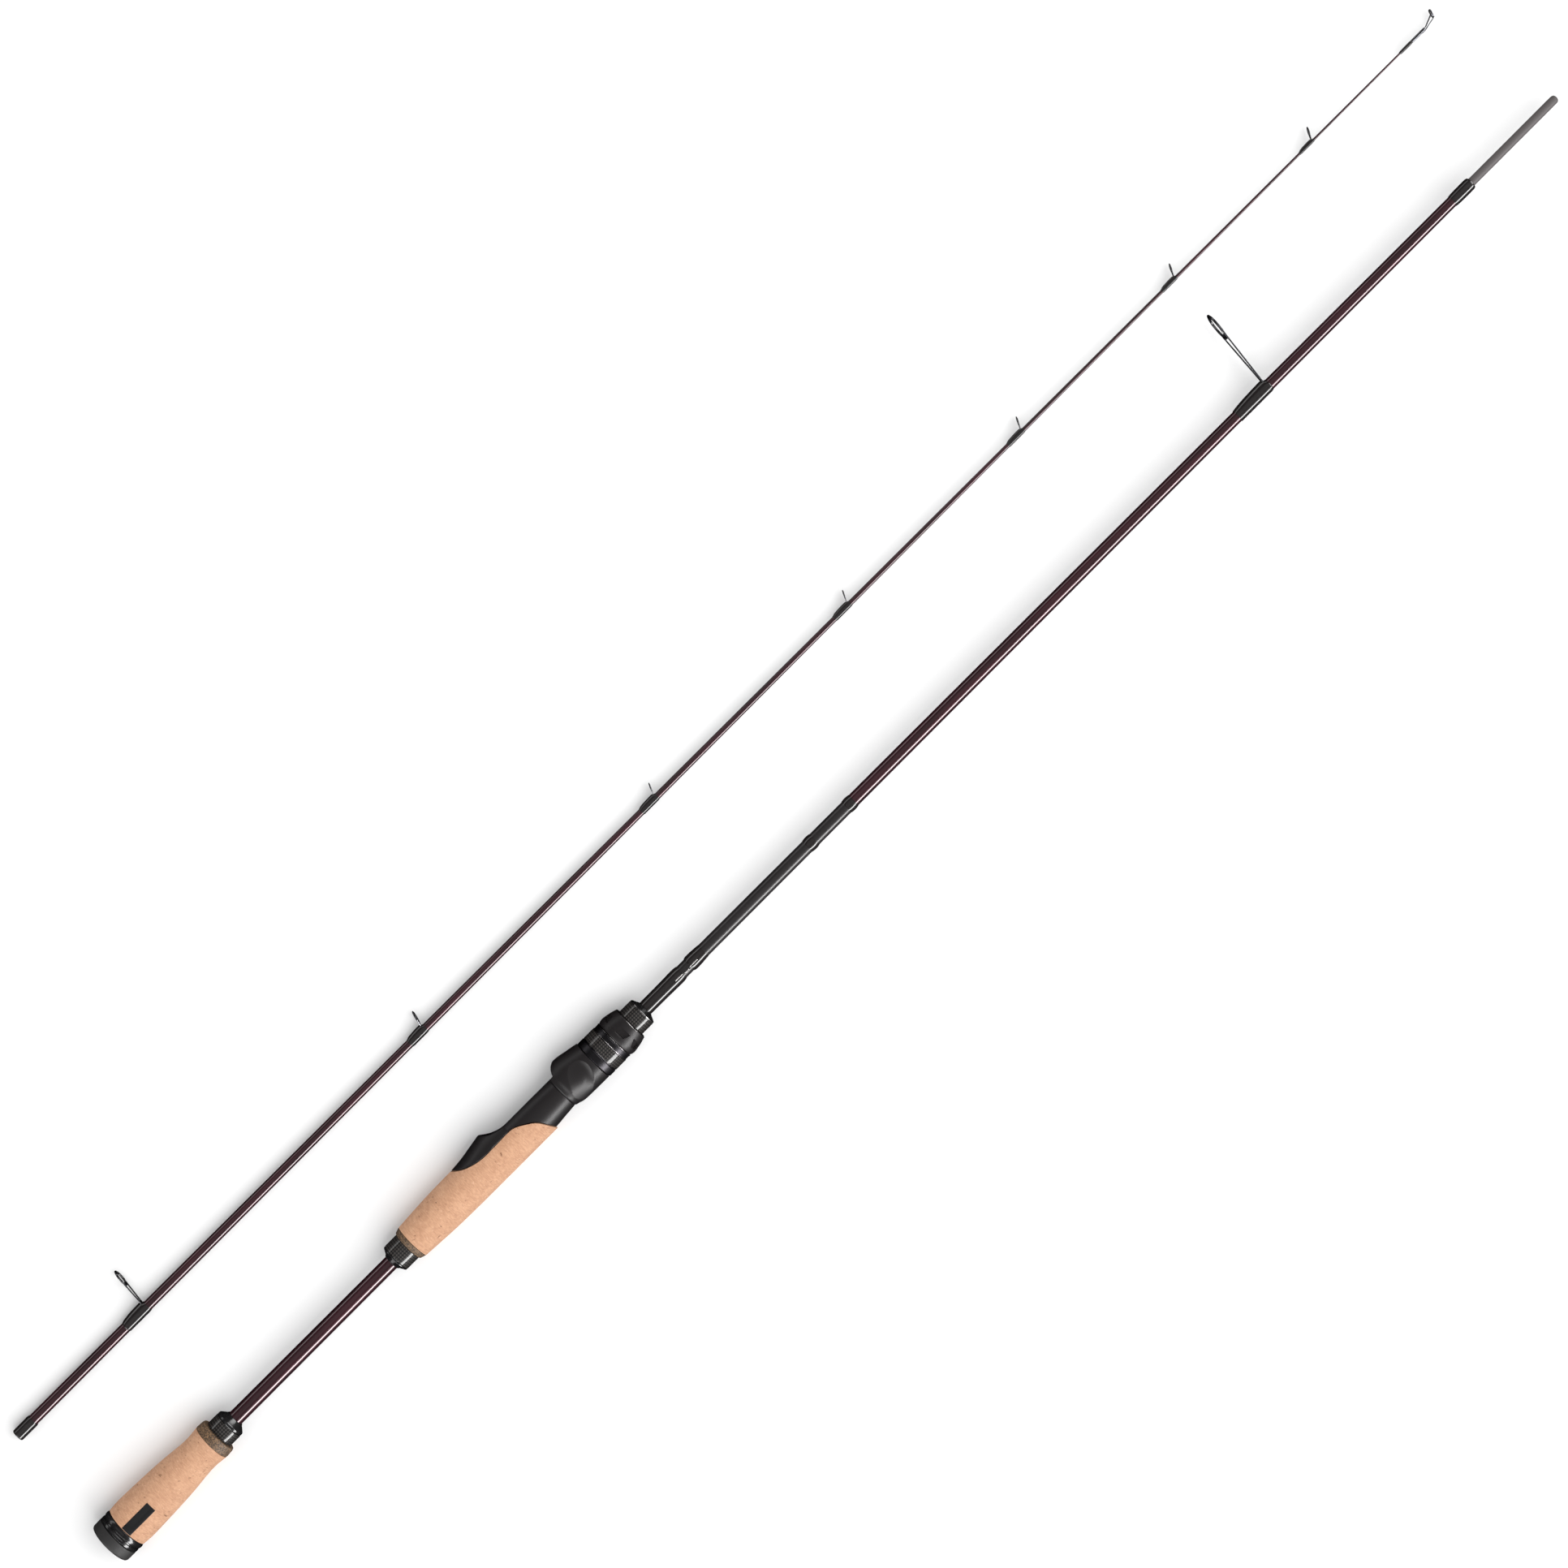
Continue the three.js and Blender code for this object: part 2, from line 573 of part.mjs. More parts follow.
// ---- Lock nut ----
const nutStart = hoodEnd + endGap;
{
  const bandStart = nutStart + nutFlangeLength + 0.9;
  const bandEnd = bandStart + nutBandLength;
  const coreEnd = bandEnd + nutShoulderLength;
  const bandFloor = nutRadius - nutBandThickness - glueGap;
  const nut = [
    [nutStart, barrelBore],
    [nutStart, nutRadius - 0.3],
    [nutStart + 0.3, nutRadius],
    [nutStart + nutFlangeLength - 0.4, nutRadius],
    [nutStart + nutFlangeLength, nutRadius - 0.4],
    [bandStart - 0.3, nutRadius - 0.4],
    [bandStart - 0.3, bandFloor],
    [bandEnd, bandFloor],
    [bandEnd, nutRadius - 0.2],
    [coreEnd - 0.6, nutRadius - 0.2],
    [coreEnd, nutRadius - 0.5],
    [coreEnd, barrelBore],
  ];
  add(buttSection, 'lock_nut', turned([...nut.slice(1), nut[0]], gripSides), brightMetal);
  const bandStop = bandEnd - endGap;
  const bandTop = nutRadius - 0.1;
  const band = pipe(bandStart, bandStop, bandTop, bandFloor + glueGap, gripSides);
  add(buttSection, 'nut_carbon_band', band, carbonWeave);
  const gripStart = coreEnd + endGap;
  const gripEnd = gripStart + gripLength;
  const grip = [
    [gripStart, nutRadius - 0.5],
    [gripStart + gripLength * 0.2, nutRadius + 0.1],
    [gripStart + gripLength * 0.33, nutRadius],
    [gripEnd - 0.4, gripFrontRadius + 0.1],
    [gripEnd, gripFrontRadius - 0.3],
    [gripEnd, barrelBore],
    [gripStart, barrelBore],
  ];
  const windowStart = gripStart + gripLength * 0.32;
  const windowEnd = windowStart + gripWindowLength;
  const windowHalf = gripWindowWidth / 2;
  const windows = [];
  for (let i = 0; i < gripWindows; i += 1) {
    const floor = gripFrontRadius - 0.3;
    const opening = block(windowStart, windowEnd, floor, nutRadius + 3, -windowHalf, windowHalf);
    windows.push(opening.rotateX(((i + 0.5) * 2 * Math.PI) / gripWindows));
  }
  const ring = cut(toSolid(turned(grip, gripSides)), ...windows);
  add(buttSection, 'nut_grip_ring', toGeometry(ring), blackTrim);
}

// ---- Front check ----
station = barrelFront + endGap;
{
  const check = sleeve(station, frontSleeveLength, [[0, checkRadius], [1, checkRadius]], buttRadiusAt);
  add(buttSection, 'front_check_sleeve', check, carbonWeave);
  station += frontSleeveLength + endGap;
  const lip = buttRadiusAt(station) + glueGap + 0.3;
  const cone = sleeve(station, frontCollarLength, [[0, checkRadius - 0.4], [1, lip]], buttRadiusAt);
  add(buttSection, 'front_check_collar', cone, blackTrim);
  station += frontCollarLength + endGap;
}

// A thread wrap with its coat of epoxy: a thin sleeve with rounded ends.
function threadWrap(start, length, radiusAt, thickness = wrapThickness) {
  const top = radiusAt(start) + glueGap + thickness;
  const end = Math.min(0.9, length / 4) / length;
  const low = top - thickness * 0.6;
  return sleeve(start, length, [[0, low], [end, top], [1 - end, top], [1, low]], radiusAt, blankSides);
}

// ---- Hook keeper: a wire staple whose feet lie under two wraps ----
{
  const rearWrap = toSolid(threadWrap(station, keeperRearWrapLength, buttRadiusAt));
  const gapStart = station + keeperRearWrapLength;
  const frontStart = gapStart + keeperGap;
  const frontWrap = toSolid(threadWrap(frontStart, keeperFrontWrapLength, buttRadiusAt));
  const footRadius = buttRadiusAt(gapStart - keeperFoot) + glueGap + keeperWire / 2;
  const path = new THREE.CatmullRomCurve3([
    new THREE.Vector3(gapStart - keeperFoot, 0, footRadius),
    new THREE.Vector3(gapStart - keeperFoot * 0.3, 0, footRadius),
    new THREE.Vector3(gapStart + keeperGap * 0.12, 0, footRadius + keeperHeight * 0.35),
    new THREE.Vector3(gapStart + keeperGap * 0.3, 0, footRadius + keeperHeight - keeperWire),
    new THREE.Vector3(gapStart + keeperGap * 0.7, 0, footRadius + keeperHeight - keeperWire),
    new THREE.Vector3(gapStart + keeperGap * 0.88, 0, footRadius + keeperHeight * 0.35),
    new THREE.Vector3(frontStart + keeperFoot * 0.3, 0, footRadius),
    new THREE.Vector3(frontStart + keeperFoot, 0, footRadius),
  ]);
  const section = new THREE.Shape().absarc(0, 0, keeperWire / 2, 0, 2 * Math.PI);
  const wire = new THREE.ExtrudeGeometry(section, { steps: 18, extrudePath: path, curveSegments: 3 });
  const channelHalf = keeperWire / 2 + glueGap;
  const channel = block(gapStart - keeperFoot - endGap, frontStart + keeperFoot + endGap, -channelHalf,
    channelHalf, 0, footRadius + keeperHeight);
  const roll = radians(keeperRoll);
  add(buttSection, 'hook_keeper', wire.rotateX(-roll), darkMetal);
  channel.rotateX(-roll);
  add(buttSection, 'keeper_rear_wrap', toGeometry(cut(rearWrap, channel)), blackWrap);
  add(buttSection, 'keeper_front_wrap', toGeometry(cut(frontWrap, channel)), blackWrap);
  station = frontStart + keeperFrontWrapLength;
}

// ---- Trim wraps and ferrule wraps ----
const [rearTrimWrap, frontTrimWrap] = trimWrapSetbacks.map((setback) => {
  return threadWrap(station + setback, trimWrapLength, buttRadiusAt);
});
add(buttSection, 'trim_wrap_rear', rearTrimWrap, blackWrap);
add(buttSection, 'trim_wrap_front', frontTrimWrap, blackWrap);
const ferruleWrapStart = buttBlankLength - ferruleWrapLength;
const buttFerruleWrap = threadWrap(ferruleWrapStart, ferruleWrapLength, buttRadiusAt);
add(buttSection, 'butt_ferrule_wrap', buttFerruleWrap, blackWrap);
add(tipSection, 'tip_ferrule_wrap', threadWrap(0, tipFerruleWrapLength, tipRadiusAt), blackWrap);

// ---- Tip blank: its rear end is the socket for the spigot ----
{
  const hollowEnd = tipBlankLength * 0.93;
  const outer = tipRadii.map(([share, radius]) => [share * tipBlankLength, radius]);
  const bore = [
    [hollowEnd, 0],
    [hollowEnd - 1, tipRadiusAt(hollowEnd) * 0.3],
    [tipRadii[2][0] * tipBlankLength, tipRadii[2][1] - tipWall],
    [tipRadii[1][0] * tipBlankLength, tipRadii[1][1] - tipWall],
    [socketDepth + 1, socketRadius - 0.15],
    [socketDepth, socketRadius],
    [0, socketRadius],
  ];
  const outline = [[0, socketRadius], ...outer, [tipBlankLength, 0], ...bore];
  const points = outline.map(([x, radius]) => new THREE.Vector2(radius, x));
  const blank = new THREE.LatheGeometry(points, blankSides).rotateZ(-Math.PI / 2);
  add(tipSection, 'tip_blank', toGeometry(toSolid(blank)), burgundyBlank);
}

// ---- Guides ----
// A ring's face, leaned towards the tip about the foot: half the plate is behind the foot's front edge.
function leaned(geometry, lean, rise) {
  return geometry.rotateZ(-radians(lean)).translate(0, rise, 0);
}

// The frame seen along the rod: two legs that run up tangent to the ring's band, or a short neck.
function frameOutline(kind, centre) {
  const outer = kind.ring / 2;
  const toCentre = new THREE.Vector2(-kind.base, centre);
  const reach = toCentre.length();
  const heading = toCentre.angle() - Math.asin(outer / reach);
  const tangent = Math.sqrt(reach * reach - outer * outer);
  const up = new THREE.Vector2(Math.cos(heading), Math.sin(heading));
  const touch = new THREE.Vector2(kind.base, 0).addScaledVector(up, tangent);
  const touchAngle = Math.atan2(touch.y - centre, touch.x);
  const shape = new THREE.Shape();
  shape.moveTo(-kind.base, 0);
  shape.lineTo(kind.base, 0);
  shape.lineTo(touch.x, touch.y);
  shape.absarc(0, centre, outer, touchAngle, Math.PI - touchAngle, false);
  shape.closePath();
  shape.holes.push(new THREE.Path().absarc(0, centre, outer - kind.band, 0, 2 * Math.PI, true));
  if (kind.leg > 0) {
    const sill = kind.leg * 1.4;
    const side = new THREE.Vector2(kind.base, 0).add(new THREE.Vector2(-up.y, up.x).multiplyScalar(kind.leg));
    const low = side.clone().addScaledVector(up, (sill - side.y) / up.y);
    const inner = outer - kind.leg;
    const foot = new THREE.Vector2(up.y, -up.x).multiplyScalar(inner);
    const high = foot.addScaledVector(up, -Math.sqrt(outer * outer - inner * inner));
    const highAngle = Math.atan2(high.y, high.x);
    const window = new THREE.Path();
    window.moveTo(-low.x, low.y);
    window.lineTo(low.x, low.y);
    window.lineTo(high.x, high.y + centre);
    window.absarc(0, centre, outer, highAngle, -Math.PI - highAngle, true);
    window.closePath();
    shape.holes.push(window);
  }
  return shape;
}

function addGuide(parent, guide, blankLength, radiusAt) {
  const { kind, name } = guide;
  const at = guide.share * blankLength;
  const footLength = guide.wrap * 0.85;
  const rise = radiusAt(at - footLength) + glueGap;
  const centre = (guide.top - rise) / Math.cos(radians(guide.lean)) - kind.ring / 2;
  const plate = new THREE.ExtrudeGeometry(frameOutline(kind, centre), {
    depth: kind.plate,
    bevelEnabled: false,
    curveSegments: ringSides / 2,
  });
  leaned(plate.rotateY(Math.PI / 2).translate(-kind.plate / 2, 0, 0), guide.lean, rise);
  const tread = new THREE.Shape();
  tread.moveTo(-footLength, rise);
  tread.lineTo(kind.plate * 0.3, rise);
  tread.lineTo(kind.plate * 0.3, rise + kind.foot);
  tread.lineTo(-footLength * 0.7, rise + kind.foot);
  tread.lineTo(-footLength, rise + kind.foot * 0.4);
  tread.closePath();
  const frame = joined(plate, slab(tread, kind.footWidth));
  add(parent, `${name}_frame`, toGeometry(frame), darkMetal, at);

  const linerOuter = kind.ring / 2 - kind.band - glueGap;
  const linerBore = linerOuter - kind.insert;
  const half = kind.liner / 2;
  const crown = kind.insert * 0.3;
  const liner = turned([
    [-half, linerOuter],
    [half, linerOuter],
    [half, linerBore + crown],
    [half - crown, linerBore],
    [-half + crown, linerBore],
    [-half, linerBore + crown],
  ], ringSides).translate(0, centre, 0);
  add(parent, `${name}_ring`, leaned(liner, guide.lean, rise), ceramic, at);

  // The wrap's section is round below and crowned above, wide enough to close over the foot's corners.
  const start = -guide.wrap;
  const wrapEnd = -kind.plate * 0.8 - endGap;
  const bore = radiusAt(at + start) + glueGap;
  const channelTop = rise + kind.foot + glueGap;
  const channelHalf = kind.footWidth / 2 + glueGap;
  const crestEnd = channelTop + kind.cover;
  const cornerHeight = (channelTop + kind.cover * 0.2) / crestEnd;
  const closing = channelHalf / Math.sqrt(1 - cornerHeight * cornerHeight);
  const top = Math.max(bore + kind.cover * 0.7, closing);
  const channelStart = -footLength - endGap;
  const crest = [[start, top], [channelStart, channelTop - kind.foot * 0.4], [-footLength * 0.7, crestEnd]];
  const stations = [start + 0.8, channelStart, -footLength * 0.7, wrapEnd];
  const outside = [[start, (bore + top) / 2], ...stations.map((x) => [x, top])];
  const outline = [...outside, [wrapEnd, bore], [start, bore]];
  const body = crowned(turned(outline, blankSides), () => top, (x) => along(crest, x), bore);
  const channel = block(channelStart, 1, 0, channelTop, -channelHalf, channelHalf);
  add(parent, `${name}_wrap`, toGeometry(cut(toSolid(body), channel)), blackWrap, at);
}

addGuide(buttSection, buttGuide, buttBlankLength, buttRadiusAt);
tipGuides.forEach((guide) => addGuide(tipSection, guide, tipBlankLength, tipRadiusAt));

// ---- Tip top: a tube over the blank's end, braces, and a leaned ring ----
{
  const blankEnd = tipBlankLength;
  const tubeStart = blankEnd + tipTopOverhang - tipTopTube;
  const tubeEnd = blankEnd + tipTopOverhang;
  const tubeBore = tipRadiusAt(tubeStart) + glueGap;
  const tubeRadius = tubeBore + tipTopWall;
  const tube = pipe(tubeStart, tubeEnd, tubeRadius, tubeBore, blankSides);
  const ringX = tubeEnd + tipTopReach;
  const outer = tipTopRing / 2;
  const half = tipTopPlate / 2;
  const place = (geometry) => leaned(geometry, tipTopLean, tipTopRise).translate(ringX, 0, 0);
  const bandBore = outer - tipTopBand;
  const band = place(pipe(-half, half, outer, bandBore, ringSides));
  const root = tubeEnd - 0.6;
  const middle = outer - tipTopBand / 2;
  const lowEnd = new THREE.Vector3(ringX - middle * Math.sin(radians(tipTopLean)), tipTopRise - middle, 0);
  const braces = [bar(new THREE.Vector3(root, -tubeRadius + tipTopWall / 2, 0), lowEnd, tipTopBrace)];
  for (const side of [1, -1]) {
    const from = new THREE.Vector3(root, 0, side * (tubeRadius - tipTopWall / 2));
    braces.push(bar(from, new THREE.Vector3(ringX, tipTopRise, side * middle), tipTopBrace));
  }
  add(tipSection, 'tip_top_frame', toGeometry(joined(tube, band, ...braces)), darkMetal);
  const linerOuter = bandBore - glueGap;
  const linerBore = linerOuter - tipTopInsert;
  const liner = pipe(-half, half, linerOuter, linerBore, ringSides);
  add(tipSection, 'tip_top_ring', place(liner), ceramic);
  const wrapStart = tubeStart - endGap - tipTopWrapLength;
  const wrap = threadWrap(wrapStart, tipTopWrapLength, tipRadiusAt, tipTopWall + 0.05);
  add(tipSection, 'tip_top_wrap', wrap, blackWrap);
}

// ---- Lay both sections on the surface, with the origin under the middle of the whole ----
buttSection.position.set(0, 0, rearCorkBulge);
tipSection.position.set(tipSetback, sectionSpacing, stripperKind.ring / 2);
rodGroup.updateMatrixWorld(true);
const box = new THREE.Box3().setFromObject(rodGroup, true);
const middleOf = box.getCenter(new THREE.Vector3());
rodGroup.position.set(-middleOf.x, -middleOf.y, -box.min.z);

export default rodGroup;
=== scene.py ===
import math
import random
from functools import lru_cache

import bmesh
import bpy
from mathutils import Matrix, Vector


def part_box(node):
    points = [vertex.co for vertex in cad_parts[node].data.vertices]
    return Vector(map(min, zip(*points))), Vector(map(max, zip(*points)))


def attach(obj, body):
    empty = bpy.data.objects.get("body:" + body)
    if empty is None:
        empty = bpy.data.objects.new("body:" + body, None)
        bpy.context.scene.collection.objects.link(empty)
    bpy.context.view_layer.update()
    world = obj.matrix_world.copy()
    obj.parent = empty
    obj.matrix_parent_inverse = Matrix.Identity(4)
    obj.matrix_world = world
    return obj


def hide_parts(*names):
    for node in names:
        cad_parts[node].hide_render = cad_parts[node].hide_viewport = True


# Two-piece spinning rod. Shapes are made in millimetres round the rod's own axis, +X to the tip and +Y to
# the guides, and each finished piece is then scaled to metres and set on its section's axis.

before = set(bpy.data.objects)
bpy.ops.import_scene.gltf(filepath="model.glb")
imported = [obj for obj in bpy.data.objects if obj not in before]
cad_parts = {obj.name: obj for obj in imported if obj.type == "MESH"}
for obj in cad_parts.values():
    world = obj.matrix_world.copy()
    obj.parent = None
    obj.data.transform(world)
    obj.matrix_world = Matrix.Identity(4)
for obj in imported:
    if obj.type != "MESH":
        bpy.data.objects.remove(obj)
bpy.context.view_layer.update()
scene = bpy.context.scene
mm = 0.001
print("frame loaded")


def rearEnd(endNode, blankNode):
    # a section's rear end, on the axis of its blank
    blankLow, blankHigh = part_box(blankNode)
    middle = (blankLow + blankHigh) / 2
    return Vector((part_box(endNode)[0].x, middle.y, middle.z))


buttEnd = rearEnd("butt_cap", "butt_blank")
tipEnd = rearEnd("tip_blank", "tip_blank")


@lru_cache(maxsize=None)
def reach(node, onTip=False):
    # how far a node runs along its section, in millimetres from the section's rear end
    low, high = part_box(node)
    rear = tipEnd.x if onTip else buttEnd.x
    return (low.x - rear) / mm, (high.x - rear) / mm


blanks = {
    "buttRear": 4.63,
    "buttFront": 3.15,
    "tipRadii": [(0, 3.2), (0.325, 2.3), (0.555, 1.6), (1, 0.5)],  # share of the length, radius
    "buttLength": reach("butt_ferrule_wrap")[1],
    "tipLength": reach("tip_blank", True)[1],
    "fit": 0.12,  # room between the blank and what is glued on it
    "buttWall": 0.58,  # at the spigot
    "socket": 2.57,
    "socketDepth": 68.0,
}


def between(points, x):
    # straight between points of station and value
    if x <= points[0][0]:
        return points[0][1]
    for (x0, value0), (x1, value1) in zip(points, points[1:]):
        if x <= x1:
            return value0 + (value1 - value0) * (x - x0) / (x1 - x0)
    return points[-1][1]


def buttRadius(x):
    return between([(0, blanks["buttRear"]), (blanks["buttLength"], blanks["buttFront"])], x)


def tipRadius(x):
    return between(blanks["tipRadii"], x / blanks["tipLength"])


def eased(a, b, c, d, t):
    # the value a share t of the way from b to c, with a and d as the neighbours
    square, cube = 2 * a - 5 * b + 4 * c - d, 3 * b - a - 3 * c + d
    return (2 * b + (c - a) * t + square * t * t + cube * t ** 3) / 2


def smoothLine(points, steps):
    # a rounded line through all the points, with so many steps from each point to the next
    line = []
    ends = [points[0]] + list(points) + [points[-1]]
    for neighbours in zip(ends, ends[1:], ends[2:], ends[3:]):
        for step in range(steps):
            line.append(tuple(eased(*values, step / steps) for values in zip(*neighbours)))
    return line + [tuple(points[-1])]


def stations(start, end, steps):
    return [start + (end - start) * step / steps for step in range(steps + 1)]


def spun(outline, sides=96, closed=True, soften=0.2, sharpness=24):
    # an outline of station and radius, turned once round the rod's axis
    bm = bmesh.new()
    corners = [bm.verts.new((x, radius, 0)) for x, radius in outline]
    for first, second in zip(corners, corners[1:]):
        bm.edges.new((first, second))
    if closed:
        bm.edges.new((corners[-1], corners[0]))
    bmesh.ops.spin(bm, geom=bm.verts[:] + bm.edges[:], cent=(0, 0, 0), axis=(1, 0, 0),
                   angle=math.tau, steps=sides, use_merge=True)
    bmesh.ops.remove_doubles(bm, verts=bm.verts[:], dist=0.0005)
    bmesh.ops.recalc_face_normals(bm, faces=bm.faces[:])
    softenEdges(bm, soften, sharpness)
    return bm


def softenEdges(bm, width, sharpness=24):
    # rounds the edges that turn by more than the sharpness, in degrees
    limit = math.radians(sharpness)
    rims = [edge for edge in bm.edges if edge.is_manifold and edge.calc_face_angle(0) > limit]
    if width > 0 and rims:
        bmesh.ops.bevel(bm, geom=rims, offset=width, segments=3, profile=0.5, affect="EDGES",
                        material=-1, clamp_overlap=True)


def prism(outline, halfWidth):
    # an outline in x and y, carried straight across the rod
    bm = bmesh.new()
    base = bm.faces.new([bm.verts.new((x, y, -halfWidth)) for x, y in outline])
    grown = bmesh.ops.extrude_face_region(bm, geom=[base])["geom"]
    bmesh.ops.translate(bm, verts=[v for v in grown if isinstance(v, bmesh.types.BMVert)],
                        vec=(0, 0, 2 * halfWidth))
    bmesh.ops.recalc_face_normals(bm, faces=bm.faces[:])
    return bm


def toObject(name, bm):
    mesh = bpy.data.meshes.new(name)
    bm.to_mesh(mesh)
    bm.free()
    piece = bpy.data.objects.new(name, mesh)
    scene.collection.objects.link(piece)
    return piece


def baked(holder, helpers=()):
    # the object's mesh with its modifiers applied, as a new bmesh; the objects are then dropped
    bpy.context.view_layer.update()
    mesh = bpy.data.meshes.new_from_object(holder.evaluated_get(bpy.context.evaluated_depsgraph_get()))
    bm = bmesh.new()
    bm.from_mesh(mesh)
    bpy.data.meshes.remove(mesh)
    for helper in [holder, *helpers]:
        bpy.data.objects.remove(helper)
    return bm


def carved(bm, *tools):
    # each tool is (operation, bmesh), applied in turn
    holder = toObject("carving", bm)
    helpers = []
    for operation, tool in tools:
        helper = toObject("tool", tool)
        modifier = holder.modifiers.new("carve", "BOOLEAN")
        modifier.operation = operation
        modifier.solver = "EXACT"
        modifier.object = helper
        helpers.append(helper)
    return baked(holder, helpers)


def moulded(bm, grain, passes):
    # one even skin over the whole, its edges slightly rounded as a moulding's are
    holder = toObject("moulding", bm)
    remesh = holder.modifiers.new("skin", "REMESH")
    remesh.mode = "VOXEL"
    remesh.voxel_size = grain
    bm = baked(holder)
    for _ in range(passes):
        bmesh.ops.smooth_vert(bm, verts=bm.verts[:], factor=0.5,
                              use_axis_x=True, use_axis_y=True, use_axis_z=True)
    return bm


def walled(bm, thickness):
    # gives a sheet its thickness, inwards from its face
    holder = toObject("walling", bm)
    solidify = holder.modifiers.new("wall", "SOLIDIFY")
    solidify.thickness = thickness
    solidify.offset = -1
    return baked(holder)


def paintZone(bm, start, end, index, inner=0.0):
    # gives the faces between two stations, outside an inner radius, another of the piece's paints
    for face in bm.faces:
        middle = face.calc_center_median()
        if start < middle.x < end and math.hypot(middle.y, middle.z) > inner:
            face.material_index = index


def settle(name, bm, origin, body, paints, replaced=(), crease=38):
    # scales the shape to metres, sets it on its section's axis and hands the piece to the frame
    placed = Matrix.Translation(origin) @ Matrix.Scale(mm, 4)
    bmesh.ops.transform(bm, matrix=placed, verts=bm.verts[:])
    piece = toObject(name, bm)
    piece.data.shade_smooth()
    piece.data.set_sharp_from_angle(angle=math.radians(crease))
    for paint in paints:
        piece.data.materials.append(paint)
    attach(piece, body)
    if replaced:
        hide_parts(*replaced)
    return piece


# straight down, turned so that the rods run up to the right
view = {"distance": 2.3, "lens": 96.8, "turn": -45.0, "aim": (-0.0047, -0.012, 0.0)}

camera = bpy.data.objects.new("camera", bpy.data.cameras.new("camera"))
camera.data.lens = view["lens"]
camera.data.sensor_width = 36.0
camera.location = Vector(view["aim"]) + Vector((0, 0, view["distance"]))
camera.rotation_euler = (0, 0, math.radians(view["turn"]))
scene.collection.objects.link(camera)
scene.camera = camera

# a lamp that lights is seen on the floor and in colours, one that shines is seen in the gloss
studio = {
    "worldGrey": 0.62,
    "lamps": [
        {"name": "keyLamp", "power": 105.0, "size": (3.4, 0.6), "place": (0, -1.75, 0.74), "lights": False},
        {"name": "backLamp", "power": 9.0, "size": (3.0, 0.5), "place": (0, 1.8, 0.6), "lights": False},
        {"name": "endLamp1", "power": 34.0, "size": (1.6, 1.0), "place": (2.1, -0.3, 1), "lights": False},
        {"name": "endLamp2", "power": 34.0, "size": (1.6, 1.0), "place": (-2.1, -0.3, 1), "lights": False},
        {"name": "fillLamp", "power": 62.0, "size": (3.2, 2.6), "place": (0.3, -1.4, 2.1), "shines": False},
        {"name": "topLamp", "power": 9.0, "size": (3.0, 3.0), "place": (0, 0.5, 2.8)},
    ],
}


def addLamp(name, power, size, place, lights=True, shines=True):
    lamp = bpy.data.lights.new(name, "AREA")
    lamp.shape = "RECTANGLE"
    lamp.size, lamp.size_y = size
    lamp.energy = power
    holder = bpy.data.objects.new(name, lamp)
    holder.location = place
    holder.rotation_euler = (-Vector(place)).to_track_quat("-Z", "Y").to_euler()
    holder.visible_diffuse = lights
    holder.visible_glossy = shines
    scene.collection.objects.link(holder)


for lamp in studio["lamps"]:
    addLamp(**lamp)
scene.world = bpy.data.worlds.new("studio")
scene.world.use_nodes = True
backdrop = scene.world.node_tree.nodes["Background"]
backdrop.inputs["Color"].default_value = (*[studio["worldGrey"]] * 3, 1)
scene.world.cycles_visibility.glossy = False
scene.view_settings.view_transform = "Standard"
print("camera and lights set")


def link(tree, source, socket):
    tree.links.new(source, socket)


def put(tree, kind, values=None, **settings):
    # a new node; a value that is another node's output is linked
    node = tree.nodes.new(kind)
    for key, value in settings.items():
        setattr(node, key, value)
    for key, value in (values or {}).items():
        if isinstance(value, bpy.types.NodeSocket):
            link(tree, value, node.inputs[key])
        else:
            node.inputs[key].default_value = value
    return node


def sums(tree, operation, first, second=0.0):
    return put(tree, "ShaderNodeMath", {0: first, 1: second}, operation=operation).outputs[0]


def blend(tree, share, first, second):
    # two colours mixed
    node = put(tree, "ShaderNodeMix", {"Factor": share}, data_type="RGBA")
    for socket, value in ((node.inputs[6], first), (node.inputs[7], second)):
        if isinstance(value, bpy.types.NodeSocket):
            link(tree, value, socket)
        else:
            socket.default_value = (*value, 1)
    return node.outputs[2]


def ramp(tree, share, low, high):
    # 0 below low, 1 above high
    node = put(tree, "ShaderNodeMapRange", {"Value": share, "From Min": low, "From Max": high})
    return node.outputs[0]


def roughen(tree, shader, share, low, high):
    spread = put(tree, "ShaderNodeMapRange", {"Value": share, "To Min": low, "To Max": high})
    link(tree, spread.outputs[0], shader.inputs["Roughness"])


def newPaint(name, sockets):
    paint = bpy.data.materials.new(name)
    paint.use_nodes = True
    shader = paint.node_tree.nodes["Principled BSDF"]
    for key, value in sockets.items():
        shader.inputs[key].default_value = (*value, 1) if isinstance(value, tuple) else value
    return paint, paint.node_tree, shader


def onRod(tree, origin, stretch=(1, 1, 1)):
    # the piece's own coordinates in millimetres, centred on its section's axis
    spot = put(tree, "ShaderNodeTexCoord").outputs["Object"]
    centred = put(tree, "ShaderNodeVectorMath", {0: spot, 1: tuple(-origin)}, operation="ADD").outputs[0]
    scale = tuple(share / mm for share in stretch)
    return put(tree, "ShaderNodeVectorMath", {0: centred, 1: scale}, operation="MULTIPLY").outputs[0]


def roundRod(tree, origin):
    # station along the rod in millimetres, and the turn round it from 0 to 1
    parts = put(tree, "ShaderNodeSeparateXYZ", {0: onRod(tree, origin)}).outputs
    turn = sums(tree, "ARCTAN2", parts[2], parts[1])
    return parts[0], sums(tree, "MULTIPLY", turn, 1 / math.tau)


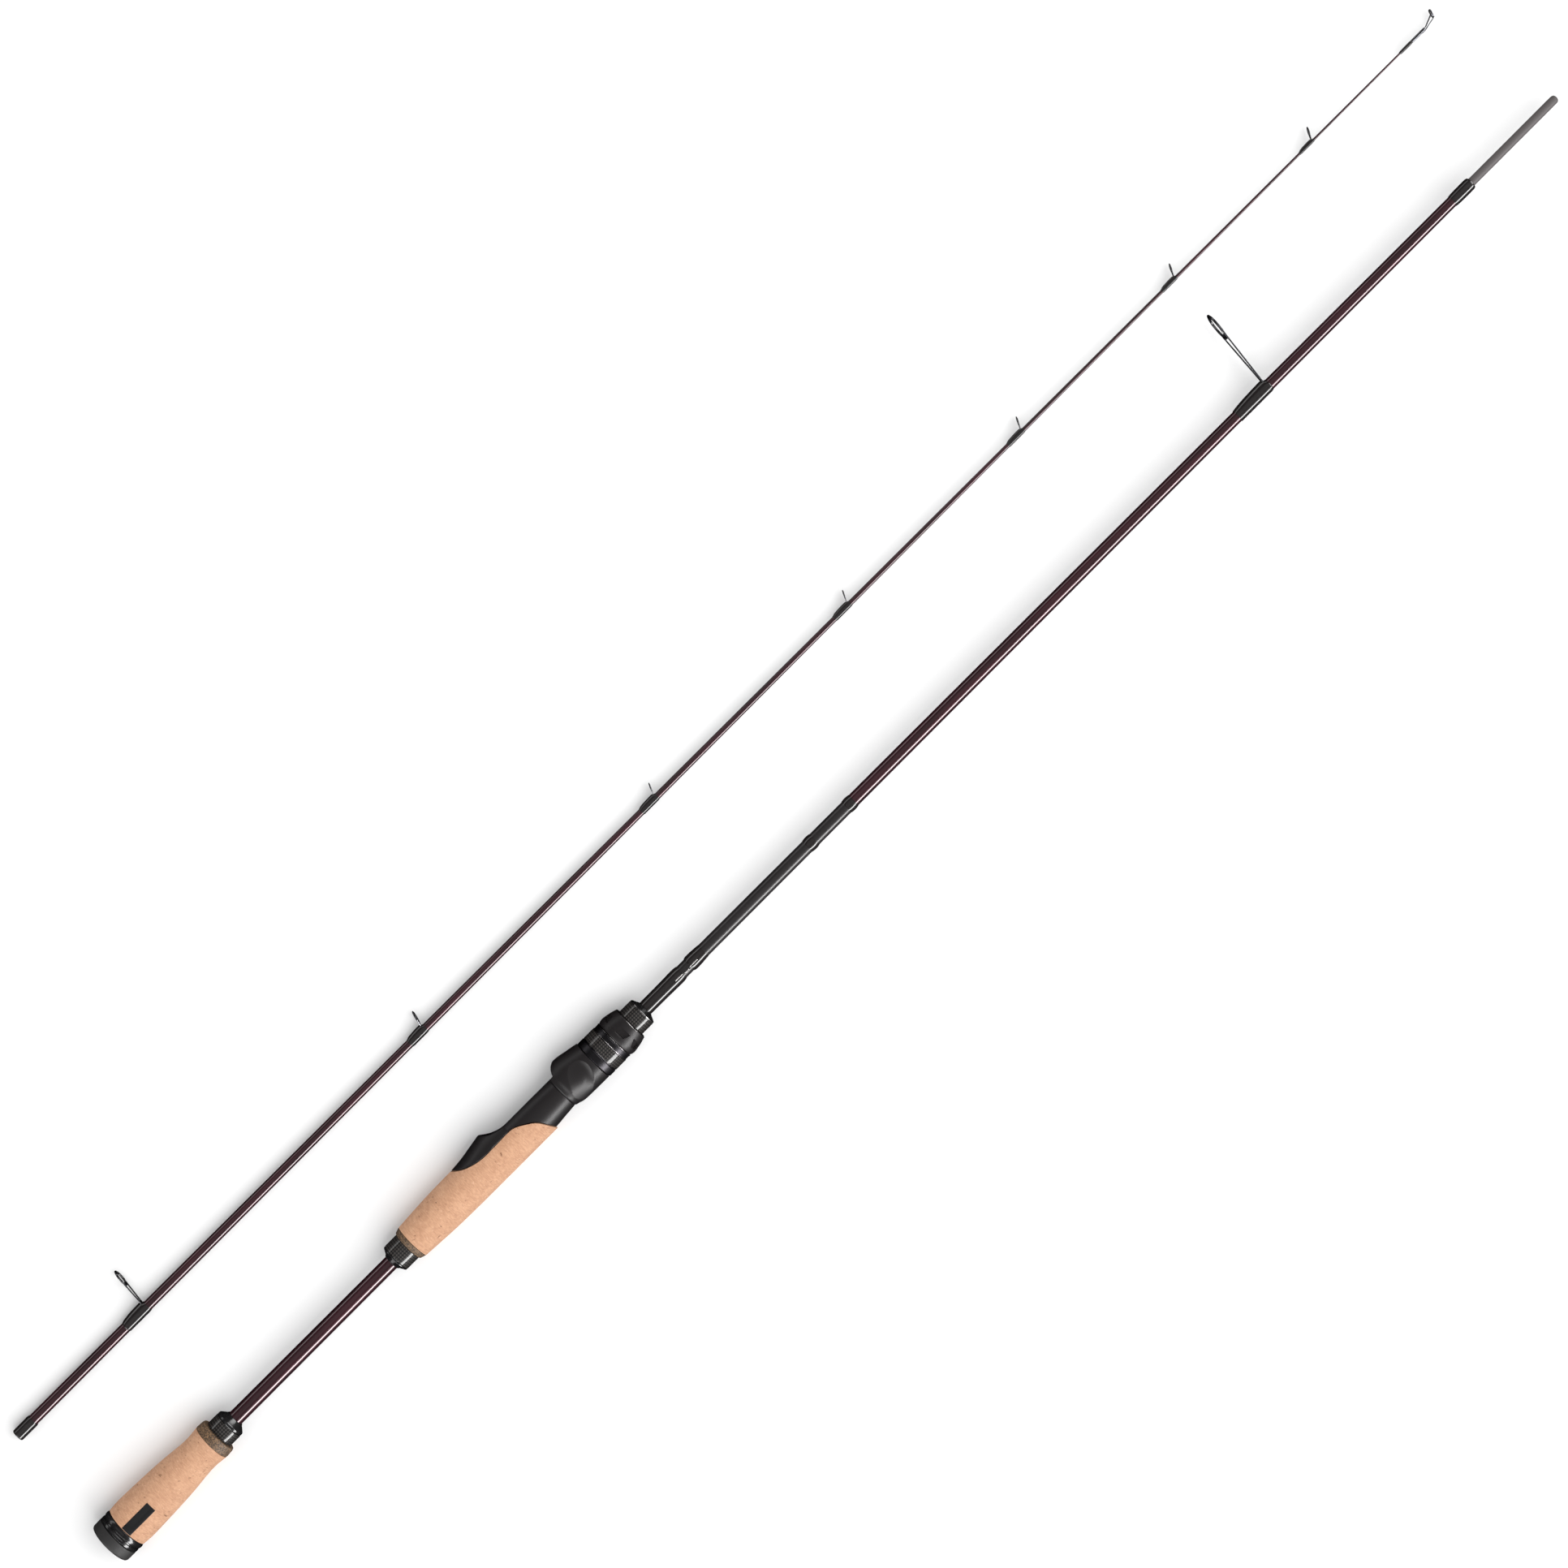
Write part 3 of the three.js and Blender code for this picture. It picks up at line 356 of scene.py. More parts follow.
def grain(tree, where, scale, detail=3.0, roughness=0.55):
    values = {"Vector": where, "Scale": scale, "Detail": detail, "Roughness": roughness}
    return put(tree, "ShaderNodeTexNoise", values).outputs["Fac"]


def bump(tree, shader, height, distance, strength=1.0, socket="Normal"):
    values = {"Height": height, "Distance": distance * mm, "Strength": strength}
    node = put(tree, "ShaderNodeBump", values)
    link(tree, node.outputs[0], shader.inputs[socket])


corkLook = {
    "light": (0.64, 0.365, 0.222),
    "tan": (0.50, 0.262, 0.152),
    "dark": (0.15, 0.06, 0.025),
    "pale": (0.76, 0.49, 0.34),
    "joint": (0.36, 0.16, 0.08),
    "ringLength": 12.7,
}


def corkPaint(name, origin):
    # pressed cork discs; the pits cut into the mesh are darkened
    paint, tree, shader = newPaint(name, {"Roughness": 0.82, "Specular IOR Level": 0.25})
    spot = onRod(tree, origin)
    cells = grain(tree, spot, 1.6, 4.0, 0.65)
    clouds = grain(tree, spot, 0.16, 2.0)
    streaks = grain(tree, onRod(tree, origin, (1.5, 0.4, 0.4)), 0.9, 3.0, 0.6)
    tone = sums(tree, "ADD", sums(tree, "MULTIPLY", clouds, 0.35), sums(tree, "MULTIPLY", streaks, 0.65))
    colour = blend(tree, ramp(tree, tone, 0.36, 0.62), corkLook["tan"], corkLook["light"])
    specks = ramp(tree, cells, 0.62, 0.72)
    colour = blend(tree, sums(tree, "MULTIPLY", specks, 0.6), colour, corkLook["joint"])
    flecks = ramp(tree, grain(tree, spot, 0.95, 2.0, 0.5), 0.66, 0.7)
    colour = blend(tree, sums(tree, "MULTIPLY", flecks, 0.5), colour, corkLook["pale"])
    along, _ = roundRod(tree, origin)
    discs = sums(tree, "FRACT", sums(tree, "DIVIDE", along, corkLook["ringLength"]))
    joint = sums(tree, "LESS_THAN", sums(tree, "ABSOLUTE", sums(tree, "SUBTRACT", discs, 0.5)), 0.008)
    colour = blend(tree, sums(tree, "MULTIPLY", joint, 0.18), colour, corkLook["joint"])
    pit = put(tree, "ShaderNodeAttribute", attribute_name="pit").outputs["Fac"]
    colour = blend(tree, ramp(tree, pit, 0.08, 0.85), colour, corkLook["dark"])
    link(tree, colour, shader.inputs["Base Color"])
    bump(tree, shader, sums(tree, "ADD", cells, streaks), 0.16, 0.8)
    return paint


burlLook = {
    "chipDark": (0.045, 0.026, 0.014),
    "chipLight": (0.26, 0.15, 0.072),
    "dust": (0.09, 0.055, 0.035),
}


def burlPaint(name, origin):
    # rough chips of dark and tan cork
    paint, tree, shader = newPaint(name, {"Roughness": 0.62, "Specular IOR Level": 0.35})
    spot = onRod(tree, origin)
    chips = put(tree, "ShaderNodeTexVoronoi", {"Vector": spot, "Scale": 2.1})
    tint = put(tree, "ShaderNodeSeparateColor", {0: chips.outputs["Color"]}).outputs[0]
    colour = blend(tree, ramp(tree, tint, 0.2, 0.85), burlLook["chipDark"], burlLook["chipLight"])
    dust = ramp(tree, grain(tree, spot, 3.0, 3.0), 0.45, 0.7)
    colour = blend(tree, sums(tree, "MULTIPLY", dust, 0.6), colour, burlLook["dust"])
    link(tree, colour, shader.inputs["Base Color"])
    bump(tree, shader, chips.outputs["Distance"], 0.08, 0.6)
    return paint


weaveLook = {
    "fibreDark": (0.036, 0.031, 0.028),
    "fibreLight": (0.075, 0.066, 0.060),
    "shade": (0.006, 0.006, 0.006),
    "under": (0.008, 0.0075, 0.0075),
}


def carbonPaint(name, origin, cell, around):
    # a plain weave laid at 45 degrees, under clear resin: squares so long, so many round the piece
    sockets = {"Roughness": 0.5, "Specular IOR Level": 0.15, "Coat Weight": 0.8, "Coat Roughness": 0.09}
    paint, tree, shader = newPaint(name, sockets)
    along, turn = roundRod(tree, origin)
    across = sums(tree, "DIVIDE", along, cell)
    roundwise = sums(tree, "MULTIPLY", turn, around)
    warp = sums(tree, "ADD", across, roundwise)
    weft = sums(tree, "SUBTRACT", across, roundwise)
    squares = sums(tree, "ADD", sums(tree, "FLOOR", warp), sums(tree, "FLOOR", weft))
    over = sums(tree, "ABSOLUTE", sums(tree, "MODULO", squares, 2.0))
    warpTow = sums(tree, "SINE", sums(tree, "MULTIPLY", sums(tree, "FRACT", warp), math.pi))
    weftTow = sums(tree, "SINE", sums(tree, "MULTIPLY", sums(tree, "FRACT", weft), math.pi))
    under = sums(tree, "SUBTRACT", 1.0, over)
    warpHeight = sums(tree, "MULTIPLY", warpTow, over)
    height = sums(tree, "ADD", warpHeight, sums(tree, "MULTIPLY", weftTow, under))
    fibres = grain(tree, onRod(tree, origin), 6.0, 2.0)
    light = blend(tree, fibres, weaveLook["fibreDark"], weaveLook["fibreLight"])
    shaded = blend(tree, ramp(tree, height, 0.0, 0.75), weaveLook["shade"], light)
    colour = blend(tree, over, weaveLook["under"], shaded)
    link(tree, colour, shader.inputs["Base Color"])
    bump(tree, shader, height, 0.05, 0.5)
    return paint


lacquers = {
    "burgundy": {"deep": (0.012, 0.0025, 0.004), "glow": (0.075, 0.011, 0.022), "roughness": 0.33,
                 "coat": 1.0, "metallic": 0.4},
    "black": {"deep": (0.009, 0.0075, 0.0075), "glow": (0.032, 0.027, 0.028), "roughness": 0.38,
              "coat": 0.3, "metallic": 0.2},
}
tapePitch = 2.6  # of the low spiral ridge that the rolling tape leaves on a blank


def lacquerPaint(name, origin, deep, glow, roughness, coat, metallic):
    # tinted lacquer with a fine flake in it, and clear coat above
    sockets = {"Roughness": roughness, "Metallic": metallic, "Coat Weight": coat, "Coat Roughness": 0.035}
    paint, tree, shader = newPaint(name, sockets)
    flake = grain(tree, onRod(tree, origin, (0.5, 1, 1)), 5.0, 2.0)
    cloud = grain(tree, onRod(tree, origin, (0.05, 1, 1)), 0.5, 2.0)
    share = sums(tree, "ADD", sums(tree, "MULTIPLY", flake, 0.6), sums(tree, "MULTIPLY", cloud, 0.5))
    link(tree, blend(tree, ramp(tree, share, 0.35, 0.8), deep, glow), shader.inputs["Base Color"])
    along, turn = roundRod(tree, origin)
    winding = sums(tree, "ADD", sums(tree, "DIVIDE", along, tapePitch), turn)
    ridge = sums(tree, "SINE", sums(tree, "MULTIPLY", winding, math.tau))
    bump(tree, shader, ridge, 0.05, 0.35)
    bump(tree, shader, ridge, 0.03, 0.3, "Coat Normal")
    return paint


threadLook = {"pitch": 0.16, "dark": (0.007, 0.0055, 0.0055), "light": (0.020, 0.0155, 0.0155)}


def threadPaint(name, origin):
    # black thread seen dimly through thick clear epoxy
    sockets = {"Roughness": 0.4, "Coat Weight": 1.0, "Coat Roughness": 0.03, "Specular IOR Level": 0.15}
    paint, tree, shader = newPaint(name, sockets)
    along, _ = roundRod(tree, origin)
    wind = sums(tree, "SINE", sums(tree, "MULTIPLY", along, math.tau / threadLook["pitch"]))
    tone = grain(tree, onRod(tree, origin), 1.2, 2.0)
    colour = blend(tree, tone, threadLook["dark"], threadLook["light"])
    link(tree, colour, shader.inputs["Base Color"])
    bump(tree, shader, wind, 0.02, 0.35)
    return paint


def plasticPaint(name, origin, colour, roughness, scale=2.4, texture=0.012, coat=0.0):
    # moulded or anodised surface with a fine even grain
    sockets = {"Coat Weight": coat, "Coat Roughness": 0.12, "Specular IOR Level": 0.32}
    paint, tree, shader = newPaint(name, sockets)
    fine = grain(tree, onRod(tree, origin), scale, 3.0)
    lighter = tuple(min(1.0, channel * 1.35) for channel in colour)
    link(tree, blend(tree, fine, colour, lighter), shader.inputs["Base Color"])
    roughen(tree, shader, fine, roughness - 0.05, roughness + 0.05)
    bump(tree, shader, grain(tree, onRod(tree, origin), scale * 3, 2.0), texture, 0.6)
    return paint


def metalPaint(name, origin, colour, roughness, stretch=(1, 0.08, 0.08), scale=9.0):
    # turned or drawn metal, with faint marks along its working direction
    paint, tree, shader = newPaint(name, {"Metallic": 1.0})
    marks = grain(tree, onRod(tree, origin, stretch), scale, 3.0, 0.6)
    darker = tuple(channel * 0.7 for channel in colour)
    link(tree, blend(tree, ramp(tree, marks, 0.3, 0.7), darker, colour), shader.inputs["Base Color"])
    roughen(tree, shader, marks, roughness - 0.06, roughness + 0.08)
    bump(tree, shader, marks, 0.01, 0.4)
    return paint


corkFinish = corkPaint("corkFinish", buttEnd)
burlFinish = burlPaint("burlFinish", buttEnd)
carbonFinish = carbonPaint("carbonFinish", buttEnd, 1.5, 36)
nutCarbonFinish = carbonPaint("nutCarbonFinish", buttEnd, 1.5, 50)
burgundyFinish = lacquerPaint("burgundyFinish", buttEnd, **lacquers["burgundy"])
tipBurgundyFinish = lacquerPaint("tipBurgundyFinish", tipEnd, **lacquers["burgundy"])
blackBlankFinish = lacquerPaint("blackBlankFinish", buttEnd, **lacquers["black"])
wrapFinish = threadPaint("wrapFinish", buttEnd)
tipWrapFinish = threadPaint("tipWrapFinish", tipEnd)
seatFinish = plasticPaint("seatFinish", buttEnd, (0.0115, 0.0095, 0.0100), 0.4)
rubberFinish = plasticPaint("rubberFinish", buttEnd, (0.020, 0.019, 0.019), 0.6, 1.8, 0.05)
trimFinish = plasticPaint("trimFinish", buttEnd, (0.010, 0.0095, 0.010), 0.22, 2.0, 0.006, 0.5)
foamFinish = plasticPaint("foamFinish", buttEnd, (0.42, 0.40, 0.36), 0.9, 1.2, 0.1)
nutFinish = metalPaint("nutFinish", buttEnd, (0.045, 0.043, 0.047), 0.36)
# a lighter metal laid on chamfers and window walls, a painted glint along those edges
paintedGlintMetal = metalPaint("paintedGlintMetal", buttEnd, (0.42, 0.40, 0.40), 0.25)
keeperFinish = metalPaint("keeperFinish", buttEnd, (0.40, 0.385, 0.38), 0.3, (0.2, 1, 1), 5.0)
graphiteFinish = plasticPaint("graphiteFinish", buttEnd, (0.085, 0.075, 0.075), 0.58, 1.6, 0.03)
guideFinish = metalPaint("guideFinish", buttEnd, (0.20, 0.20, 0.215), 0.24, (1, 1, 0.15), 3.0)
tipGuideFinish = metalPaint("tipGuideFinish", tipEnd, (0.20, 0.20, 0.215), 0.24, (1, 1, 0.15), 3.0)
linerFinish = plasticPaint("linerFinish", buttEnd, (0.012, 0.012, 0.014), 0.12, 2.0, 0.002, 0.8)
tipLinerFinish = plasticPaint("tipLinerFinish", tipEnd, (0.012, 0.012, 0.014), 0.12, 2.0, 0.002, 0.8)
labelFinish = plasticPaint("labelFinish", buttEnd, (0.009, 0.009, 0.0095), 0.3, 3.0, 0.004, 0.3)
print("paints mixed")


cap = {
    "radius": 13.1,
    "edge": 1.4,
    "treads": (3.6, 6.2, 8.8),  # outer radius of each ring groove in the end
    "treadWidth": 0.9,
    "treadDepth": 0.5,
    "bore": 4.8,
}


def makeCap():
    start, end = reach("butt_cap")
    radius, edge = cap["radius"], cap["edge"]
    outline = [(start + 0.3, 0)]
    floor = start + cap["treadDepth"]
    for tread in cap["treads"]:
        inner = tread - cap["treadWidth"]
        outline += [(start, inner), (floor, inner), (floor, tread), (start, tread)]
    outline += [(start, radius - edge), (start + edge * 0.3, radius - edge * 0.3)]
    outline += [(start + edge, radius), (end - 0.2, radius + 0.05), (end, radius - 0.2)]
    outline += [(end, cap["bore"]), (end, 0)]
    bm = spun(outline, 128, closed=False, soften=0.18, sharpness=20)
    settle("rubberCap", bm, buttEnd, "butt_section", [rubberFinish], ["butt_cap"])


trim = {"radius": 13.1, "bead": 2.1, "groove": 0.75, "grooveWidth": 0.8, "front": 12.75, "bulge": 0.2}


def makeTrimRing():
    # a round bead, a groove, and a crowned band that meets the cork
    start, end = reach("butt_trim_ring")
    radius, front = trim["radius"], trim["front"]
    bead = start + trim["bead"]
    grooveEnd = bead + trim["grooveWidth"]
    outside = [(start, radius - 0.35), (start + 0.35, radius)]
    outside += [(start + trim["bead"] / 2, radius + 0.08), (bead - 0.3, radius)]
    outside += [(bead, radius - 0.3), (bead, radius - trim["groove"])]
    outside += [(grooveEnd, radius - trim["groove"]), (grooveEnd, radius - 0.25)]
    outside += smoothLine([(grooveEnd + 0.3, radius + 0.05), ((grooveEnd + end) / 2, radius + trim["bulge"]),
                           (end - 0.5, front), (end, front - 0.5)], 4)
    bm = spun(outside + [(end, cap["bore"]), (start, cap["bore"])], 128, soften=0.08)
    settle("trimRing", bm, buttEnd, "butt_section", [trimFinish], ["butt_trim_ring"])


corkSkin = {
    "wall": 2.2,
    "rearPits": 150,
    "forePits": 210,
    "deepest": 0.3,
    "columns": 144,
    "rowLength": 0.5,
    "smallShare": 0.86,  # of the pits; the others are long ones
    "small": {"long": (0.45, 0.9), "wide": (0.26, 0.4)},
    "large": {"long": (1.0, 2.3), "wide": (0.3, 0.5)},
}


def corkPits(seed, count, start, end, radius):
    # each pit has its place, half length, half width, the cosine and sine of its turn, and its depth
    chance = random.Random(seed)
    pits = []
    for _ in range(count):
        size = corkSkin["small" if chance.random() < corkSkin["smallShare"] else "large"]
        long = chance.uniform(*size["long"])
        wide = chance.uniform(*size["wide"])
        turn = chance.gauss(math.pi / 2, 0.45) if chance.random() < 0.6 else chance.uniform(0, math.pi)
        place = (chance.uniform(start, end), chance.uniform(0, math.tau) * radius)
        pits.append((*place, long, wide, math.cos(turn), math.sin(turn), chance.uniform(0.25, 0.9)))
    return pits


def pitDepth(pits, x, arc, girth):
    # 0 on the plain cork, up to 1 in the deepest pit; the arc is a length round the cork
    depth = 0.0
    for place, side, long, wide, cosine, sine, deep in pits:
        dx = x - place
        if abs(dx) > long:
            continue
        ds = (arc - side + math.pi * girth) % (math.tau * girth) - math.pi * girth
        if abs(ds) > long:
            continue
        u = (dx * cosine + ds * sine) / long
        v = (ds * cosine - dx * sine) / wide
        spread = u * u + v * v
        if spread < 1:
            depth = max(depth, deep * (1 - spread) ** 0.7)
    return depth


def makeCork(name, node, radiusAt, openingAt, seed, count, tailPower=1.0):
    # a cork skin with real pits; the opening is half the angle left free round the guide side, and
    # the tail power draws the rows closer together at the front
    start, end = reach(node)
    rows = round((end - start) / corkSkin["rowLength"])
    girth = radiusAt((start + end) / 2)
    pits = corkPits(seed, count, start, end, girth)
    bm = bmesh.new()
    bmesh.ops.create_grid(bm, x_segments=corkSkin["columns"], y_segments=rows, size=0.5)
    pitted = bm.verts.layers.float.new("pit")
    for vert in bm.verts:
        share = 1 - (0.5 - vert.co.y) ** tailPower
        x = start + share * (end - start)
        opening = openingAt(x)
        angle = opening + (vert.co.x + 0.5) * (math.tau - 2 * opening)
        depth = pitDepth(pits, x, angle * girth, girth)
        vert[pitted] = depth
        radius = radiusAt(x) - depth * corkSkin["deepest"]
        vert.co = (x, radius * math.cos(angle), radius * math.sin(angle))
    bmesh.ops.remove_doubles(bm, verts=bm.verts[:], dist=0.002)
    bmesh.ops.recalc_face_normals(bm, faces=bm.faces[:])
    bm = walled(bm, corkSkin["wall"])
    settle(name, bm, buttEnd, "butt_section", [corkFinish], [node], crease=60)


rearCorkLine = smoothLine([(0, 13.0), (0.14, 13.4), (0.56, 12.3), (0.84, 10.7), (1, 11.4)], 12)


def rearCorkRadius(x):
    start, end = reach("rear_cork_grip")
    return between(rearCorkLine, (x - start) / (end - start))


label = {"length": 19.4, "low": -4.5, "high": 1.7, "lift": 0.1, "thickness": 0.14}


def makeLabel():
    # a plain dark patch that follows the cork
    start = reach("rear_cork_grip")[0] + 0.2
    bm = bmesh.new()
    bmesh.ops.create_grid(bm, x_segments=30, y_segments=14, size=0.5)
    for vert in bm.verts:
        x = start + (vert.co.x + 0.5) * label["length"]
        radius = rearCorkRadius(x) + label["lift"]
        y = label["low"] + (vert.co.y + 0.5) * (label["high"] - label["low"])
        vert.co = (x, y, math.sqrt(radius * radius - y * y))
    bmesh.ops.recalc_face_normals(bm, faces=bm.faces[:])
    if bm.faces[:][0].normal.z < 0:
        bmesh.ops.reverse_faces(bm, faces=bm.faces[:])
    bm = walled(bm, label["thickness"])
    softenEdges(bm, 0.04, 60)
    settle("plainLabel", bm, buttEnd, "butt_section", [labelFinish])


# the sleeves, cones and burl rings at the ends of the two grips
checks = {"radius": 8.7, "lip": 0.45, "paintedGlintEdge": 0.25}


def makeCollar(name, node, profile, paints, soften=0.15):
    # a ring on the butt blank; the profile is given as share of its length, radius
    start, end = reach(node)
    outside = [(start + share * (end - start), radius) for share, radius in profile]
    bore = buttRadius(start) + blanks["fit"]
    bm = spun(outside + [(end, bore), (start, bore)], 112, soften=soften)
    return settle(name, bm, buttEnd, "butt_section", paints, [node])


def makeChecks():
    girth = checks["radius"]
    rearLip = buttRadius(reach("rear_check_collar")[1]) + checks["lip"]
    midLip = buttRadius(reach("mid_check_collar")[0]) + checks["lip"]
    frontLip = buttRadius(reach("front_check_collar")[1]) + checks["lip"]
    makeCollar("rearBurl", "rear_burl_ring", [(0, 11.35), (0.1, 11.45), (0.8, 11.2), (1, 10.8)],
               [burlFinish])
    makeCollar("midBurl", "mid_burl_ring", [(0, 9.3), (0.15, 9.7), (0.9, 10.5), (1, 10.45)],
               [burlFinish])
    sleeve = [(0, girth - 0.12), (0.05, girth), (0.95, girth), (1, girth - 0.12)]
    for place in ("rear", "mid", "front"):
        makeCollar(f"{place}Sleeve", f"{place}_check_sleeve", sleeve, [carbonFinish], 0.1)
    makeCollar("rearCone", "rear_check_collar",
               [(0, girth - 0.25), (0.12, girth - 0.05), (0.3, girth - 0.15), (0.42, girth - 0.7),
                (0.85, rearLip + 0.5), (1, rearLip)], [trimFinish])
    makeCollar("midCone", "mid_check_collar",
               [(0, midLip), (0.25, midLip + 0.7), (0.7, girth - 0.6), (0.8, girth - 0.15),
                (1, girth - 0.1)], [trimFinish])
    front = makeCollar("frontCone", "front_check_collar",
                       [(0, girth + 0.02), (0.14, girth - 0.1), (0.3, girth - 0.45),
                        (0.8, frontLip + 0.9), (1, frontLip)], [trimFinish, paintedGlintMetal], 0.1)
    # the front cone's rear rim gets the lighter metal, a painted glint
    start = reach("front_check_collar")[0] * mm + buttEnd.x
    for polygon in front.data.polygons:
        if polygon.center.x < start + checks["paintedGlintEdge"] * mm:
            polygon.material_index = 1


# the reel seat; its rear seam is shared with the fore cork
seat = {
    "saddle": 58.0,
    "cork": 12.2,
    "seam": 5.0,
    "gap": 0.3,
    "pad": 9.35,
    "peak": 15.6,
    "peakBack": 34.4,
    "mouthRun": 13.8,
    "hoodWall": 1.2,
    "foot": 13.6,
    "pocket": 12.0,
    "shoulder": 15.4,
    "shoulderRear": 11.3,
    "shoulderFront": 10.0,
    "thread": 9.2,
    "pitch": 1.75,
    "threadDepth": 0.45,
    "bore": 7.0,
    "key": 3.2,
    "keyDepth": 1.2,
    "turns": 8,
    "grain": 0.34,
}
cutWidth = 30  # to each side, past anything that is cut
saddleStart = reach("reel_seat")[0] - seat["gap"] / 2
corkFront = saddleStart + seat["saddle"]
shoulderFront = corkFront + seat["shoulder"]
barrelFront = reach("reel_seat")[1]
peakAt = corkFront - seat["peakBack"]
mouthFoot = peakAt + seat["mouthRun"]


def seamLine(shift):
    # the long S where cork and seat meet, seen from the side
    length, high, cork = seat["saddle"], seat["seam"], seat["cork"]
    points = [(0, cork), (0.13, (cork + high) / 2 - 0.9), (0.3, high + 0.1), (0.5, high),
              (0.7, high - 0.1), (0.82, high * 0.35), (0.92, -high * 0.6), (1, -cork)]
    return smoothLine([(saddleStart + share * length + shift, y + shift) for share, y in points], 10)


corkSeam = seamLine(-seat["gap"] / 2)
foreCorkLine = smoothLine([(0, 10.6), (0.2, 11.7), (0.36, 12.1), (0.6, 12.2), (1, 12.2)], 8)


def foreCorkRadius(x):
    start = reach("fore_cork_grip")[0]
    return between(foreCorkLine, (x - start) / (corkFront - start))


def corkOpening(x):
    # half the angle that the cork leaves free for the seat at a station
    if x <= corkSeam[0][0]:
        return 0.0
    height = between(corkSeam, x) / foreCorkRadius(x)
    return math.acos(max(-1.0, min(1.0, height)))


def crowned(bm, sideAt, crestAt):
    # lifts the guide side of a spun shape, so that its top follows the crest and its sides stay
    for vert in bm.verts:
        if vert.co.y > 0:
            vert.co.y *= crestAt(vert.co.x) / sideAt(vert.co.x)


def seatBody(inset):
    # the closed body before its openings; an inset one is the inside of its walls
    run = peakAt - saddleStart
    climb = seat["peak"] - seat["cork"]
    rear = saddleStart - 1
    front = [(corkFront, seat["shoulderRear"]), (shoulderFront, seat["shoulderFront"])]
    sides = [(rear, seat["cork"]), (peakAt, seat["cork"] + 0.1)] + front
    crest = smoothLine([(rear, seat["cork"] - 0.05), (saddleStart + run * 0.34, seat["cork"] + climb * 0.2),
                        (saddleStart + run * 0.66, seat["cork"] + climb * 0.55),
                        (peakAt - 1.2, seat["peak"] - 0.35), (peakAt + 1.2, seat["peak"])], 6)
    crest += [(mouthFoot, seat["peak"]), (mouthFoot + 1, seat["shoulderRear"] + 0.4)] + front
    places = stations(rear, shoulderFront, round(shoulderFront - saddleStart) + 1)
    outline = [(rear, 0)] + [(x, between(sides, x) - inset) for x in places] + [(places[-1], 0)]
    bm = spun(outline, 120, closed=False, soften=0)
    crowned(bm, lambda x: between(sides, x) - inset, lambda x: between(crest, x) - inset)
    return bm


def mouthCurve(start, control, end, steps=14):
    # a bend from start to end, drawn towards the control point
    curve = []
    for step in range(steps + 1):
        t = step / steps
        curve.append(tuple((1 - t) ** 2 * a + 2 * t * (1 - t) * b + t * t * c
                           for a, b, c in zip(start, control, end)))
    return curve


def makeSeat():
    # cut to the seam, then the bay for the reel foot, then the pocket under the fixed hood
    above = seamLine(seat["gap"] / 2)
    pad = seat["pad"]
    top = seat["peak"] + 5
    ahead = shoulderFront + 5
    ground = [(above[0][0], top)] + above + [(above[-1][0] + 0.3, -top), (ahead, -top), (ahead, top)]
    mouthTop = peakAt + 0.7
    control = ((mouthTop + mouthFoot) / 2 - 1.2, pad + 0.6)
    bay = mouthCurve((mouthTop, seat["peak"]), control, (mouthFoot, pad))
    bay = [(mouthTop - 0.9, top)] + bay + [(ahead, pad), (ahead, top)]
    pocketEnd = peakAt - seat["pocket"]
    room = [(pocketEnd, pad), (mouthFoot, pad), (mouthFoot, top), (pocketEnd, top)]
    pocket = carved(seatBody(seat["hoodWall"]), ("INTERSECT", prism(room, seat["foot"] / 2)))
    bm = carved(seatBody(0), ("INTERSECT", prism(ground, cutWidth)), ("DIFFERENCE", prism(bay, cutWidth)),
                ("DIFFERENCE", pocket))
    bm = moulded(bm, seat["grain"], 3)
    settle("seatBody", bm, buttEnd, "butt_section", [seatFinish], ["reel_seat"], crease=60)


def makeBarrel():
    # the threaded barrel, with the slot that keeps the sliding hood from turning
    radius, depth, pitch = seat["thread"], seat["threadDepth"], seat["pitch"]
    outline = [(shoulderFront - 1, radius)]
    threadStart = barrelFront - 1 - seat["turns"] * pitch
    for turn in range(seat["turns"]):
        x = threadStart + turn * pitch
        outline += [(x, radius), (x + pitch * 0.25, radius), (x + pitch * 0.45, radius - depth)]
        outline += [(x + pitch * 0.75, radius - depth)]
    outline += [(barrelFront - 1, radius), (barrelFront, radius - depth)]
    outline += [(barrelFront, seat["bore"]), (shoulderFront - 1, seat["bore"])]
    slotStart, slotEnd = shoulderFront + 1, barrelFront + 2
    slotFloor, slotTop = radius - seat["keyDepth"], radius + 3
    slot = [(slotStart, slotFloor), (slotEnd, slotFloor), (slotEnd, slotTop), (slotStart, slotTop)]
    bm = carved(spun(outline, 112, soften=0.08), ("DIFFERENCE", prism(slot, seat["key"] / 2)))
    settle("seatBarrel", bm, buttEnd, "butt_section", [seatFinish])


hood = {
    "side": 12.0,
    "rim": 10.35,
    "peak": 15.4,
    "peakBack": 9.2,
    "bore": 9.5,
    "wall": 1.2,
    "pocket": 15.5,
    "thumbAlong": 11.6,
    "thumbUp": -2.0,
    "thumbLong": 11.0,
    "thumbWide": 8.2,
    "thumbFlat": 5.6,
    "thumbTilt": -0.5,
    "thumbRun": 4.2,
    "thumbDepth": 1.35,
    "thumbBlend": 0.9,  # a lower one rounds the corners where the straight rear meets the round
    "grain": 0.26,
}
hoodStart, hoodEnd = reach("sliding_hood")


